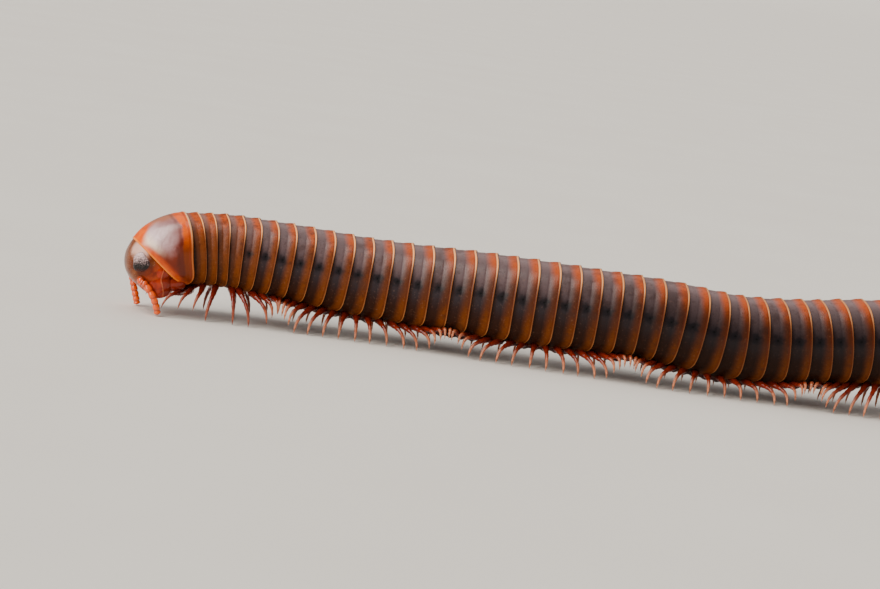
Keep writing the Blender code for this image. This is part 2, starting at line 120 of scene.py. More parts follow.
ROOT_STRIP_START = 5.6
ROOT_STRIP_SINK = 0.12 * MM
ROOT_STRIP_HALF_WIDTH = 1.15 * MM
ROOT_STRIP_HALF_DEPTH = 0.5 * MM
ROOT_STRIP_SWELL = 0.16
ROOT_STRIP_ROWS_PER_RING = 12
ROOT_STRIP_COLUMNS = 16

# Head end, in the frame of ring 1's rear rim: forward, left and up
COLLUM_LENGTH = 5.6 * MM
COLLUM_TOP = (5.02 * MM, 1.54 * MM)
COLLUM_SLANT = math.radians(52)
COLLUM_HALF_TURN = math.radians(147)
COLLUM_WALL = 0.14 * MM
COLLUM_CORNER_SHARE = 0.72
COLLUM_CORNER_POWER = 16
COLLUM_CORNER_LEVEL = 0.45
COLLUM_MARGIN_BEAD = 0.05 * MM
COLLUM_FRONT_BEAD_MM = 0.22
COLLUM_REAR_BEAD_MM = 0.16
COLLUM_EDGE_MM = 0.035
COLLUM_MEAN_ARC_MM = 4.6
COLLUM_ROWS = 44
COLLUM_COLUMNS = 168
BREAST_PLACE_MM = (0.15, 0.0, -3.62)
BREAST_HALF_SIZE_MM = (1.35, 1.3, 0.34)
BREAST_TILT = math.radians(12)
BREAST_SQUARENESS = 2.1
# Each slice of the head: its level, its front, its rear and its half width
HEAD_LEVELS_MM = [(2.0, 4.3, 2.4, 0.6), (1.5, 4.98, 1.9, 1.5), (0.95, 5.43, 1.5, 2.05),
                  (0.3, 5.8, 1.3, 2.42), (-0.5, 6.0, 1.2, 2.6), (-1.3, 5.97, 1.2, 2.62),
                  (-2.1, 5.66, 1.3, 2.52), (-2.9, 5.07, 1.5, 2.28), (-3.5, 4.47, 1.8, 1.95),
                  (-3.95, 4.0, 2.1, 1.5), (-4.2, 3.7, 2.5, 0.9)]
HEAD_SQUARENESS = 2.3
# The notch's depth, half width, half height and level, and the groove's depth, half height and level
LIP_NOTCH_MM = (0.22, 0.35, 0.4, -4.1)
LIP_GROOVE_MM = (0.05, 0.3, -3.05)
HEAD_ROWS = 80
HEAD_COLUMNS = 112
EYE_PLACE_MM = (4.95, 2.2, -0.38)
EYE_FACING = (0.55, 0.83, 0.12)
EYE_HALF_SIZE_MM = (0.82, 0.95, 0.42)
EYE_FACET_PITCH_MM = 0.235
EYE_FACET_ROW_SHARE = 0.866
EYE_FACET_REACH_SHARE = 0.58
EYE_FACET_RISE_MM = 0.03
EYE_SINK_MM = 0.5
EYE_ROWS = 60
EYE_COLUMNS = 144
# Each mouth plate: its place, its half size, and the shares of x, y and z and a constant that make its ridge
CHEEK_PLATE = ((3.3, 1.98, -2.75), (1.2, 0.62, 1.28), (1.0, 0.0, -0.08, 0.12))
HINGE_PLATE = ((3.0, 2.2, -1.5), (0.9, 0.5, 0.75), (0.9, 0.0, 0.25, 0.0))
JAW_REAR_PLATE = ((1.75, 1.6, -2.8), (1.1, 0.85, 0.8), (0.0, 0.0, 0.0, -0.6))
CHIN_PLATE = ((2.55, 0.0, -3.6), (0.95, 1.1, 0.45), (0.0, 1.0, 0.0, 0.0))
ANTENNA_LEFT_MM = [(5.1, 2.25, -2.16), (4.69, 2.45, -2.54), (4.25, 2.9, -3.45), (4.0, 3.05, -4.35),
                   (3.9, 3.1, -5.36)]
ANTENNA_RIGHT_MM = [(5.1, -2.25, -2.16), (5.0, -2.25, -2.8), (4.96, -2.1, -3.6), (4.9, -1.9, -4.4),
                    (4.86, -1.75, -5.15)]
ANTENNA_JOINTS = np.array([0.0, 0.1, 0.26, 0.42, 0.58, 0.73, 0.89, 1.0])
ANTENNA_RADIUS = 0.345 * MM
ANTENNA_ROWS = 84
ANTENNA_SIDES = 20
ANTENNA_ROOT_RADIUS_MM = 0.36
SOCKET_PLACE_MM = (5.05, 2.12, -2.12)
SOCKET_FACING = (0.75, 0.6, -0.25)
SOCKET_RADIUS_MM = 0.38
SOCKET_WALL_RADIUS_MM = 0.08
SOCKET_ROWS = 40
SOCKET_COLUMNS = 14

# Tail end, in the frame of the last ring's rear rim. The profile is the reach and the share of the radius;
# the wall's inner side is less in both by the same number.
TELSON_PROFILE_MM = [(-0.6, 0.955), (0.3, 0.94), (1.0, 0.92), (1.8, 0.83), (2.6, 0.68), (3.05, 0.56)]
TELSON_SLANT = 0.28
TELSON_POINT = 0.75 * MM
TELSON_POINT_ANGLE = 0.45
TELSON_WALL = 0.05
TELSON_ROWS = 40
TELSON_COLUMNS = 112
VALVE_CENTRE = 2.35 * MM
VALVE_HALF_SIZE_MM = (1.75, 1.55, 2.05)
VALVE_GAP = 0.04 * MM
VALVE_ROWS = 30
VALVE_COLUMNS = 72
SCALE_PLACE_MM = (1.9, 0.0, -2.2)
SCALE_HALF_SIZE_MM = (0.85, 1.05, 0.2)
SCALE_SLOPE = 0.25
SCALE_ROWS = 24
SCALE_COLUMNS = 48
TAIL_TAILWARD = 0.98

# Paints of the limbs: root, middle, middle behind the front rings, tip, joint
LEG_PAINTS = [(66, 9, 2), (124, 26, 2), (138, 34, 4), (226, 142, 100), (58, 10, 2)]
FEELER_PAINTS = [(200, 58, 0), (234, 86, 0), (234, 86, 0), (232, 96, 0), (132, 32, 0)]
LEG_SHINE = 0.6
FEELER_SHINE = 1.0

# Studio
CAMERA_TARGET = (START_X + 24.5 * MM, START_Y + 7.0 * MM, 4.59 * MM)
CAMERA_DISTANCE = 0.24
CAMERA_ELEVATION = math.radians(8.0)
CAMERA_ROLL = math.radians(8.7)
CAMERA_LENS_MM = 100.0
CAMERA_SENSOR_MM = 36.0
CAMERA_NEAREST = 0.005
FLOOR_HALF_SIDE = 14.0
FLOOR_LEVEL_REACH = 9.0
FLOOR_EDGE_RISE = 0.02
FLOOR_ROWS = 57
KEY_DIRECTIONS_DEG = [(36, 14), (37, 30), (42, 46), (52, 61), (74, 74), (62, 24), (66, 42), (84, 58)]
KEY_SPREAD_DEG = 20
KEY_POWER = 0.62
KEY_COLOUR = (1.0, 0.94, 0.86)
BACK_DIRECTION_DEG = (190, 62)
BACK_SPREAD_DEG = 60
BACK_POWER = 0.6
BACK_COLOUR = (1.0, 0.97, 0.94)
LIGHT_DISTANCE = 0.4
AIR_COLOUR = (0.93, 0.91, 0.9, 1.0)
AIR_POWER = 0.25

rng = np.random.default_rng(SEED)


# Curves and frames


def smooth(stations, places):
    """Cubic curve through (place, value) stations, whose slope at each is that of its neighbours."""
    knots = np.array([station[0] for station in stations], float)
    values = np.array([station[1] for station in stations], float)
    slopes = np.gradient(values, knots)
    places = np.clip(np.asarray(places, float), knots[0], knots[-1])
    start = np.clip(np.searchsorted(knots, places) - 1, 0, len(knots) - 2)
    width = knots[start + 1] - knots[start]
    t = (places - knots[start]) / width
    rise = values[start] * (2 * t ** 3 - 3 * t ** 2 + 1) + values[start + 1] * (3 * t ** 2 - 2 * t ** 3)
    lean = slopes[start] * (t ** 3 - 2 * t ** 2 + t) + slopes[start + 1] * (t ** 3 - t ** 2)
    return rise + lean * width


def smooth_columns(points, count):
    """Each coordinate of a list of points as a smooth curve through them, at evenly counted rows."""
    rows = np.linspace(0, len(points) - 1, count)
    return [smooth(list(enumerate(column)), rows) for column in zip(*points)]


def full_turn(count):
    """Angles at even steps round a full turn."""
    return np.linspace(0, 2 * math.pi, count, endpoint=False)


def keeping_sign(values, power):
    """Values raised to a power without losing their sign."""
    return np.sign(values) * np.abs(values) ** power


def unit(vectors):
    """Vectors drawn out to length 1."""
    return vectors / np.maximum(np.linalg.norm(vectors, axis=-1, keepdims=True), 1e-12)


def body_path():
    """Ring numbers, centres and tailward directions along the body, added up step by step."""
    places = np.linspace(1, LAST_PLACE, RINGS * STEPS_PER_RING + 1)
    pitch = smooth(RING_PITCH_MM, places) * MM
    heading = np.radians(smooth(HEADING_DEG, places))
    steps = (pitch[1:] + pitch[:-1]) / 2 / STEPS_PER_RING
    turns = (heading[1:] + heading[:-1]) / 2
    x = START_X + np.concatenate(([0.0], np.cumsum(steps * np.cos(turns))))
    y = START_Y + np.concatenate(([0.0], np.cumsum(steps * np.sin(turns))))
    z = smooth(CENTRE_HEIGHT_MM, places) * MM
    centres = np.stack([x, y, z], axis=1)
    return places, centres, np.gradient(centres, axis=0)


PATH_PLACES, PATH_CENTRES, PATH_TANGENTS = body_path()


def ring_axes(places):
    """Centre and the tailward, rightward and upward axes of the body at an array of ring numbers."""
    places = np.asarray(places, float)
    centre = np.stack([np.interp(places, PATH_PLACES, PATH_CENTRES[:, k]) for k in range(3)], axis=-1)
    back = unit(np.stack([np.interp(places, PATH_PLACES, PATH_TANGENTS[:, k]) for k in range(3)], axis=-1))
    right = unit(np.cross(WORLD_UP, back))
    up = np.cross(back, right)
    lean = np.radians(smooth(RIM_LEAN_DEG, places))[..., None]
    leaned = back * np.cos(lean) + up * np.sin(lean)
    up = up * np.cos(lean) - back * np.sin(lean)
    before_start = np.minimum(places - 1.0, 0.0)[..., None] * RING_PITCH_MM[0][1] * MM
    return centre + leaned * before_start, leaned, right, up


HEAD_CENTRE, HEAD_BACK, HEAD_RIGHT, HEAD_UP = ring_axes(1.0)
HEAD_AXES = (-HEAD_BACK, -HEAD_RIGHT, HEAD_UP)
TAIL_CENTRE, *TAIL_AXES = ring_axes(float(RINGS))


def placed(centre, axes, x, y, z):
    """World places of points at x, y and z along three axes from a centre."""
    x, y, z = [np.asarray(part)[..., None] for part in (x, y, z)]
    return centre + x * axes[0] + y * axes[1] + z * axes[2]


def head_point(forward, left, up):
    """World places of points forward, left and up of the collum's rear rim, given as arrays in metres."""
    return placed(HEAD_CENTRE, HEAD_AXES, forward, left, up)


def head_place(place_mm, side):
    """World place of a spot on the head, given for the left side (1) and mirrored for the right (-1)."""
    forward, left, up = place_mm
    return head_point(forward * MM, side * left * MM, up * MM)


def body_radius(places):
    """Radius of the rims at an array of ring numbers."""
    return smooth(RADIUS_MM, places) * MM


def bump_curve(distance, width):
    """Bell curve, 1 in the middle and falling to about a third at the width."""
    return np.exp(-(distance / width) ** 2)


# Nets of points made into meshes


def net_faces(rows, columns, rows_meet, columns_meet):
    """Corners of a net's four-sided faces; where a direction meets itself it runs round to its start."""
    row = np.arange(rows if rows_meet else rows - 1)
    column = np.arange(columns if columns_meet else columns - 1)
    row, column = [part.ravel() for part in np.meshgrid(row, column, indexing="ij")]
    here = row * columns
    after = (row + 1) % rows * columns
    beside = (column + 1) % columns
    return np.stack([here + column, here + beside, after + beside, after + column], axis=1)


def net(points, rows_meet=False, **values):
    """A set of like closed shapes: points (copies, rows, columns, 3) round tubes whose columns meet.
    Where the rows don't meet too, each end row is closed with a fan about its mean point."""
    points = np.asarray(points, float)
    if points.ndim == 3:
        points = points[None]
        values = {key: np.asarray(value)[None] for key, value in values.items()}
    copies, rows, columns = points.shape[:3]
    corners = points.reshape(copies, rows * columns, 3)
    spread = {key: np.broadcast_to(value, (copies, rows, columns)) for key, value in values.items()}
    flat = {key: value.reshape(copies, rows * columns) for key, value in spread.items()}
    quads = net_faces(rows, columns, rows_meet, True)
    fans = np.zeros((0, 3), int)
    if not rows_meet:
        ends = np.stack([points[:, 0].mean(axis=1), points[:, -1].mean(axis=1)], axis=1)
        corners = np.concatenate([corners, ends], axis=1)
        for key, value in spread.items():
            tips = np.stack([value[:, 0].mean(axis=1), value[:, -1].mean(axis=1)], axis=1)
            flat[key] = np.concatenate([flat[key], tips], axis=1)
        side = np.arange(columns)
        beside = (side + 1) % columns
        first = rows * columns
        last_row = (rows - 1) * columns
        near = np.stack([np.full(columns, first), beside, side], axis=1)
        far = np.stack([np.full(columns, first + 1), last_row + side, last_row + beside], axis=1)
        fans = np.concatenate([near, far])
    shape = corners[0] - corners[0].mean(axis=0)
    triangles = np.concatenate([quads[:, [0, 1, 2]], quads[:, [0, 2, 3]], fans])
    a, b, c = [shape[triangles[:, k]] for k in range(3)]
    if np.sum(a * np.cross(b, c)) < 0:
        quads = quads[:, ::-1]
        fans = fans[:, ::-1]
    offset = (np.arange(copies) * corners.shape[1])[:, None, None]
    return {"corners": corners.reshape(-1, 3),
            "quads": (quads[None] + offset).reshape(-1, 4),
            "fans": (fans[None] + offset).reshape(-1, 3),
            "values": {key: value.reshape(-1) for key, value in flat.items()}}


def make_piece(name, nets, finish, replaced):
    """One mesh object from nets that all carry the same values, which become point attributes of the mesh."""
    corners = np.concatenate([part["corners"] for part in nets])
    starts = np.cumsum([0] + [len(part["corners"]) for part in nets[:-1]])
    quads = np.concatenate([part["quads"] + start for part, start in zip(nets, starts)])
    fans = np.concatenate([part["fans"] + start for part, start in zip(nets, starts)])
    mesh = bpy.data.meshes.new(name)
    mesh.vertices.add(len(corners))
    mesh.vertices.foreach_set("co", corners.astype(np.float32).ravel())
    mesh.loops.add(quads.size + fans.size)
    mesh.loops.foreach_set("vertex_index", np.concatenate([quads.ravel(), fans.ravel()]).astype(np.int32))
    mesh.polygons.add(len(quads) + len(fans))
    sizes = np.concatenate([np.full(len(quads), 4), np.full(len(fans), 3)])
    mesh.polygons.foreach_set("loop_start", (np.cumsum(sizes) - sizes).astype(np.int32))
    mesh.update(calc_edges=True)
    mesh.validate()
    for key in nets[0]["values"]:
        column = mesh.attributes.new(key, "FLOAT", "POINT")
        values = np.concatenate([part["values"][key] for part in nets])
        column.data.foreach_set("value", values.astype(np.float32))
    mesh.shade_smooth()
    mesh.materials.append(finish)
    piece = bpy.data.objects.new(name, mesh)
    bpy.context.scene.collection.objects.link(piece)
    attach(piece, "root")
    if replaced:
        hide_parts(*replaced)
    return piece


def tube(lines, half_widths, beside, sides):
    """Round tubes carried along lines (copies, rows, 3): circles across each line's direction, begun from a
    direction beside (copies, 3) off the line's plane."""
    along = unit(np.gradient(lines, axis=1))
    across = unit(np.cross(along, np.broadcast_to(beside[:, None, :], along.shape)))
    other = np.cross(along, across)
    angle = full_turn(sides)[None, None, :, None]
    ring = across[:, :, None, :] * np.cos(angle) + other[:, :, None, :] * np.sin(angle)
    widths = np.broadcast_to(half_widths, lines.shape[:2])
    return lines[:, :, None, :] + ring * widths[:, :, None, None]


# Finishes


def paint(red, green, blue):
    """Colour of a shader from the 0 to 255 values of a painted sample."""
    values = [channel / 255 for channel in (red, green, blue)]
    return tuple(v / 12.92 if v <= 0.04045 else ((v + 0.055) / 1.055) ** 2.4 for v in values) + (1.0,)


class Finish:
    """A material under making: each helper adds a node and returns its output."""

    def __init__(self, name, coat=0.0, coat_roughness=0.1, gloss=0.5):
        self.material = bpy.data.materials.new(name)
        self.material.use_nodes = True
        self.tree = self.material.node_tree
        self.shader = self.tree.nodes["Principled BSDF"]
        self.shader.inputs["Coat Weight"].default_value = coat
        self.shader.inputs["Coat Roughness"].default_value = coat_roughness
        self.shader.inputs["Specular IOR Level"].default_value = gloss

    def add(self, kind, settings=None, **inputs):
        """A node with the given settings; an input is named by its socket, or by _ and its number."""
        node = self.tree.nodes.new(kind)
        for key, value in (settings or {}).items():
            setattr(node, key, value)
        for key, value in inputs.items():
            self.feed(node.inputs[int(key[1:])] if key[1:].isdigit() else node.inputs[key], value)
        return node

    def feed(self, socket, value):
        """Links a node's output to a socket, or sets the socket to a plain value."""
        if isinstance(value, bpy.types.NodeSocket):
            self.tree.links.new(value, socket)
        else:
            socket.default_value = value

    def values(self, *names):
        """Point attributes of the mesh."""
        return [self.add("ShaderNodeAttribute", {"attribute_name": name}).outputs["Fac"] for name in names]

    def place(self):
        """Place on the piece, from its origin."""
        return self.add("ShaderNodeTexCoord").outputs["Object"]

    def noise(self, size, detail=3.0, stretch=(1, 1, 1), unevenness=0.0):
        """Cloudy pattern whose patches are about size metres across."""
        spot = self.add("ShaderNodeMapping", Vector=self.place(), Scale=stretch).outputs[0]
        return self.add("ShaderNodeTexNoise", Vector=spot, Scale=1 / size, Detail=detail,
                        Distortion=unevenness).outputs["Fac"]

    def cells(self, size):
        """Distance from the middles of cells about size metres across."""
        return self.add("ShaderNodeTexVoronoi", Vector=self.place(), Scale=1 / size).outputs["Distance"]

    def math(self, operation, first, second=0.0):
        return self.add("ShaderNodeMath", {"operation": operation}, _0=first, _1=second).outputs[0]

    def plus(self, first, second):
        return self.math("ADD", first, second)

    def times(self, first, second):
        return self.math("MULTIPLY", first, second)

    def raised(self, value, pattern, amount):
        """A value raised by a pattern times an amount."""
        return self.plus(value, self.times(pattern, amount))

    def sway(self, pattern, size):
        """A pattern between 0 and 1 made into one about 0, size from end to end."""
        return self.times(self.plus(pattern, -0.5), size)

    def fade(self, value, low, high):
        """0 where value is at low or beyond it, 1 at high, and a soft step between."""
        settings = {"interpolation_type": "SMOOTHSTEP"}
        return self.add("ShaderNodeMapRange", settings, _0=value, _1=low, _2=high).outputs[0]

    def near(self, value, middle, width):
        """1 where value is at middle, falling off to 0 at the given width on both sides."""
        return self.fade(self.math("ABSOLUTE", self.math("SUBTRACT", value, middle)), width, 0.0)

    def reach(self, first, second, spot, stretch=1.0):
        """Distance of a pair of values from a spot, the second one stretched."""
        across = self.math("SUBTRACT", first, spot[0])
        along = self.times(self.math("SUBTRACT", second, spot[1]), stretch)
        return self.math("SQRT", self.plus(self.times(across, across), self.times(along, along)))

    def blend(self, share, first, second):
        """The first colour where share is 0 and the second where it is 1."""
        return self.add("ShaderNodeMix", {"data_type": "RGBA"}, _0=share, _6=first, _7=second).outputs[2]

    def layer(self, share, amount, under, over):
        """A colour laid over another where share is 1, as thick as the amount."""
        return self.blend(self.times(share, amount), under, over)

    def relief(self, height, depth, strength=1.0):
        """Bump of the given depth in metres for a height between 0 and 1."""
        normal = self.add("ShaderNodeBump", Height=height, Distance=depth, Strength=strength).outputs[0]
        self.feed(self.shader.inputs["Normal"], normal)

    def done(self, colour, roughness):
        """The material, with its colour and roughness."""
        self.feed(self.shader.inputs["Base Color"], colour)
        self.feed(self.shader.inputs["Roughness"], roughness)
        return self.material


def ring_finish():
    """Ring shell: slate in front, paler on top with a painted sheen, orange behind turning brown down the
    flank, a pale rim and black pores, browner on the front rings, with painted shade just behind the rim in
    front and down the flanks of the rear ones."""
    f = Finish("banded_ring_shell", coat_roughness=0.29, gloss=0.07)
    band, angle, tone, tailward = f.values("band", "angle", "tone", "tailward")
    cloud = f.noise(0.9 * MM, 4.0)
    speckle = f.noise(0.22 * MM, 3.0)
    patches = f.noise(0.4 * MM, 3.0)
    wander = f.sway(cloud, 0.16)
    front_rings = f.fade(tailward, 0.15, 0.08)
    rear_rings = f.fade(tailward, 0.3, 0.6)
    flank = f.fade(angle, 0.8, 1.35)
    belly = f.fade(angle, 1.5, 2.1)

    # Slate paler towards the top: partly its own colour, partly a painted sheen on the upper flank.
    darker = f.raised(f.times(f.fade(angle, 0.1, 0.7), 0.5), f.fade(angle, 1.0, 1.45), 0.5)
    slate = f.blend(darker, paint(120, 97, 98), paint(43, 35, 40))
    slate = f.blend(belly, slate, paint(46, 20, 8))
    brown = f.blend(f.fade(angle, 0.3, 1.0), paint(140, 98, 88), paint(84, 42, 18))
    slate = f.layer(front_rings, 0.85, slate, brown)
    # Painted shade on the flank just behind the rim in front, where that rim overhangs.
    slate = f.layer(f.times(f.fade(band, 0.26, 0.03), flank), 0.95, slate, paint(36, 12, 2))
    side = f.blend(f.fade(tailward, 0.32, 0.16), paint(78, 34, 8), paint(108, 52, 16))
    orange = f.blend(f.fade(angle, 0.4, 1.2), paint(176, 70, 0), side)
    orange = f.blend(belly, orange, paint(112, 54, 6))
    on_top = f.fade(angle, 0.75, 0.35)
    start = f.plus(0.42, f.raised(f.times(front_rings, -0.16), on_top, -0.05))
    where_mottled = f.times(f.fade(tailward, 0.36, 0.22), f.fade(angle, 1.7, 1.2))
    mottled = f.times(f.fade(patches, 0.48, 0.66), where_mottled)
    orange = f.layer(mottled, 0.5, orange, paint(78, 26, 6))
    edge = f.math("SUBTRACT", f.plus(band, wander), start)
    colour = f.blend(f.fade(edge, -0.02, 0.4), slate, orange)
    colour = f.layer(f.fade(f.raised(cloud, tone, 0.12), 0.5, 0.72), 0.4, colour, paint(46, 24, 16))
    colour = f.layer(f.fade(speckle, 0.44, 0.3), 0.35, colour, paint(52, 24, 14))
    colour = f.layer(f.fade(speckle, 0.58, 0.75), 0.16, colour, paint(150, 110, 90))
    # Painted shade that deepens over the flanks of the rear rings, less towards each rim.
    painted_tail_shade = f.blend(f.fade(angle, 1.4, 1.9), paint(12, 8, 10), paint(20, 6, 1))
    painted_tail_shade_depth = f.raised(0.7, f.fade(band, 0.5, 0.8), -0.28)
    colour = f.layer(f.times(rear_rings, f.fade(angle, 0.2, 1.2)), painted_tail_shade_depth, colour, painted_tail_shade)
    colour = f.layer(f.near(band, 0.91, 0.05), 0.5, colour, paint(86, 28, 6))
    # Rim: pale, with a painted highlight on top that also widens it there, painted bounce light at the belly
    # and painted shade on the rear rings.
    rim = f.blend(f.fade(angle, 0.6, 1.3), paint(255, 174, 108), paint(134, 76, 40))
    rim = f.blend(f.fade(angle, 1.8, 2.4), rim, paint(176, 112, 60))
    rim = f.layer(rear_rings, 0.5, rim, paint(64, 30, 12))
    colour = f.blend(f.fade(f.raised(band, f.fade(angle, 1.2, 0.5), 0.045), 0.945, 0.968), colour, rim)

    distance = f.times(f.reach(band, angle, (0.38, 1.38), 2.4), 1.3)
    pores_start = FIRST_PORE_RING - 0.7
    ring_has_pore = f.fade(tailward, pores_start / LAST_PLACE, (pores_start + 0.2) / LAST_PLACE)
    ragged = f.plus(distance, f.plus(f.times(wander, 2.0), f.sway(patches, 0.7)))
    smudge = f.times(f.fade(ragged, 0.5, 0.12), ring_has_pore)
    colour = f.layer(smudge, 0.76, colour, paint(12, 10, 14))
    pore = f.times(f.fade(distance, 0.1, 0.05), ring_has_pore)
    colour = f.blend(pore, colour, paint(4, 3, 4))

    striae = f.math("SINE", f.times(angle, FLANK_LINES_PER_TURN))
    low_side = f.times(f.fade(band, 0.5, 0.6), f.fade(angle, 1.3, 1.7))
    hoops = f.times(f.math("SINE", f.times(band, HOOP_RATE)), f.fade(band, 0.62, 0.5))
    crease = f.times(f.near(angle, 1.24, 0.025), f.fade(band, 0.5, 0.4))
    height = f.raised(f.times(f.times(striae, low_side), 0.25), hoops, 0.1)
    height = f.plus(height, f.raised(f.times(speckle, 0.05), cloud, 0.25))
    height = f.math("SUBTRACT", height, f.raised(f.times(pore, 2.5), crease, 0.6))
    f.relief(height, 0.012 * MM, 0.8)
    roughness = f.raised(0.24, f.noise(0.5 * MM, 2.0), 0.16)
    roughness = f.raised(roughness, belly, 0.18)
    sheen = f.plus(0.32, f.raised(f.times(front_rings, -0.2), rear_rings, -0.12))
    sheen = f.times(f.fade(angle, 1.9, 1.3), sheen)
    f.feed(f.shader.inputs["Coat Weight"], f.plus(sheen, 0.05))
    return f.done(colour, roughness)


def collum_finish():
    """Collar shield: lilac grey in the middle with a painted pale sheen on it, red brown below, with orange
    margins, a bright rear rim and less shine towards the margins."""
    f = Finish("collar_shield_shell", coat_roughness=0.2, gloss=0.1)
    rear, front, angle = f.values("from_rear", "from_front", "angle")
    cloud = f.noise(0.8 * MM, 4.0)
    streak = f.noise(0.55 * MM, 3.0, (1.0, 1.0, 0.35), 0.5)
    wander = f.sway(cloud, 0.7)
    lower = f.fade(f.raised(angle, wander, 0.3), 0.95, 1.3)
    middle = f.blend(f.fade(angle, 0.5, 0.15), paint(146, 98, 96), paint(172, 104, 76))
    middle = f.blend(lower, middle, paint(114, 32, 0))
    # Painted sheen: a pale lilac patch towards the front of the middle, brightest near the front margin and
    # broken by streaks.
    pale = f.fade(f.raised(f.reach(angle, front, (0.8, 1.35), 0.34), wander, 0.45), 0.88, 0.15)
    lilac = f.blend(f.fade(front, 0.8, 1.9), paint(255, 226, 200), paint(222, 192, 196))
    mottled = f.raised(0.95, f.fade(streak, 0.4, 0.65), -0.25)
    middle = f.layer(pale, mottled, middle, lilac)
    middle = f.layer(f.fade(front, 1.1, 0.35), lower, middle, paint(186, 60, 4))
    middle = f.layer(f.fade(streak, 0.5, 0.7), f.times(lower, 0.3), middle, paint(56, 16, 8))
    middle = f.layer(f.fade(rear, 1.5, 0.8), f.times(lower, 0.6), middle, paint(62, 22, 10))
    orange = f.blend(f.fade(cloud, 0.35, 0.7), paint(238, 98, 0), paint(214, 76, 0))
    back_band = f.blend(f.fade(angle, 0.75, 1.5), orange, paint(122, 46, 0))
    on_top = f.fade(angle, 0.9, 0.1)
    front_reach = f.raised(f.raised(front, wander, 0.9), on_top, -1.5)
    front_reach = f.raised(front_reach, f.fade(angle, 0.7, 1.05), 0.22)
    rear_reach = f.raised(f.raised(rear, wander, 0.6), on_top, -0.35)
    colour = f.blend(f.fade(rear_reach, 0.9, 0.6), middle, back_band)
    colour = f.layer(f.near(rear_reach, 0.95, 0.25), 0.5, colour, paint(104, 34, 16))
    colour = f.blend(f.fade(front_reach, 1.15, 0.2), colour, orange)
    colour = f.layer(f.near(rear, 0.27, 0.12), 0.6, colour, paint(128, 44, 12))
    rim = f.blend(f.fade(angle, 0.5, 1.5), paint(255, 196, 140), paint(196, 104, 44))
    colour = f.blend(f.fade(rear, 0.17, 0.1), colour, rim)
    colour = f.layer(f.fade(front, 0.3, 0.08), 0.8, colour, paint(252, 146, 48))
    from_margins = f.math("MINIMUM", front_reach, rear_reach)
    shine = f.times(f.fade(from_margins, 0.4, 1.3), f.raised(0.4, lower, -0.3))
    f.feed(f.shader.inputs["Coat Weight"], f.plus(shine, 0.3))
    f.relief(f.raised(f.times(cloud, 0.5), f.noise(0.16 * MM, 2.0), 0.3), 0.012 * MM, 0.8)
    return f.done(colour, f.raised(0.24, f.noise(0.5 * MM, 2.0), 0.16))


def head_finish():
    """Head shell: brown with fine pale specks, a painted lilac sheen above each eye, dark under it, orange on
    the face, with a seam in the middle."""
    f = Finish("head_shell", coat=0.38, coat_roughness=0.2, gloss=0.07)
    level, ahead, aside = f.values("level", "ahead", "aside")
    cloud = f.noise(0.7 * MM, 4.0)
    specks = f.cells(0.17 * MM)
    slope = f.plus(f.raised(level, ahead, 0.82), f.sway(cloud, 1.2))
    crown = f.blend(f.fade(cloud, 0.3, 0.7), paint(102, 46, 16), paint(128, 70, 34))
    # Painted sheen: a pale lilac patch above each eye.
    from_painted_sheen = f.plus(f.reach(ahead, level, (4.8, 0.75)), f.sway(cloud, 0.9))
    lilac = f.fade(from_painted_sheen, 1.05, 0.4)
    on_side = f.fade(f.math("ABSOLUTE", aside), 0.5, 1.2)
    crown = f.layer(f.times(lilac, on_side), 0.78, crown, paint(238, 192, 174))
    crown = f.layer(f.fade(specks, 0.3, 0.12), 0.3, crown, paint(186, 158, 150))
    face = f.blend(f.fade(cloud, 0.35, 0.7), paint(176, 64, 4), paint(122, 34, 0))
    colour = f.blend(f.fade(slope, 2.1, 2.75), face, crown)
    from_under_eye = f.plus(f.reach(ahead, level, (4.7, -0.85)), f.sway(cloud, 0.6))
    under_eye = f.fade(from_under_eye, 1.1, 0.7)
    colour = f.layer(f.times(under_eye, on_side), 0.7, colour, paint(72, 16, 3))
    colour = f.layer(f.near(aside, 0.0, 0.07), 0.6, colour, paint(60, 26, 18))
    colour = f.layer(f.fade(level, -3.3, -4.0), 0.6, colour, paint(120, 36, 10))
    height = f.raised(f.times(f.fade(specks, 0.1, 0.4), 0.3), cloud, 0.6)
    height = f.math("SUBTRACT", height, f.near(aside, 0.0, 0.08))
    f.relief(height, 0.014 * MM, 0.8)
    return f.done(colour, f.raised(0.22, f.noise(0.4 * MM, 2.0), 0.16))


def mouth_finish():
    """Jaw and chin plates: deep orange red, darker behind a pale ridge."""
    f = Finish("mouth_plates", coat=0.5, coat_roughness=0.12, gloss=0.12)
    ridge = f.values("ridge")[0]
    cloud = f.noise(0.6 * MM, 4.0)
    edge = f.plus(ridge, f.sway(cloud, 0.25))
    colour = f.blend(f.fade(cloud, 0.3, 0.7), paint(186, 52, 0), paint(134, 28, 0))
    colour = f.blend(f.fade(edge, 0.04, -0.04), colour, paint(138, 34, 0))
    colour = f.layer(f.near(edge, 0.0, 0.05), 0.7, colour, paint(236, 136, 84))
    f.relief(f.plus(f.times(cloud, 0.8), f.near(edge, 0.0, 0.08)), 0.02 * MM, 0.8)
    return f.done(colour, f.raised(0.2, cloud, 0.14))


def eye_finish():
    """Eye field: black facets with a painted pale highlight above, broken into painted glints, with brown
    lines between them and a red brown foot."""
    f = Finish("eye_facets", coat=0.5, coat_roughness=0.14, gloss=0.1)
    facet, level = f.values("facet", "high")
    # Painted highlight: the facets turn pale towards the top, with a broken edge of painted glints.
    high = f.plus(level, f.sway(f.noise(0.3 * MM, 2.0), 0.5))
    glints = f.sway(f.noise(0.11 * MM, 1.0), 1.6)
    colour = f.blend(f.fade(f.plus(high, glints), -0.3, 0.95), paint(4, 4, 6), paint(222, 188, 188))
    colour = f.layer(f.fade(facet, 0.3, 0.08), 0.6, colour, paint(70, 44, 40))
    colour = f.layer(f.fade(high, -0.5, -0.85), 0.8, colour, paint(66, 12, 4))
    f.relief(f.noise(0.05 * MM, 1.0), 0.001 * MM, 0.4)
    return f.done(colour, f.raised(0.12, f.fade(facet, 0.5, 0.1), 0.3))


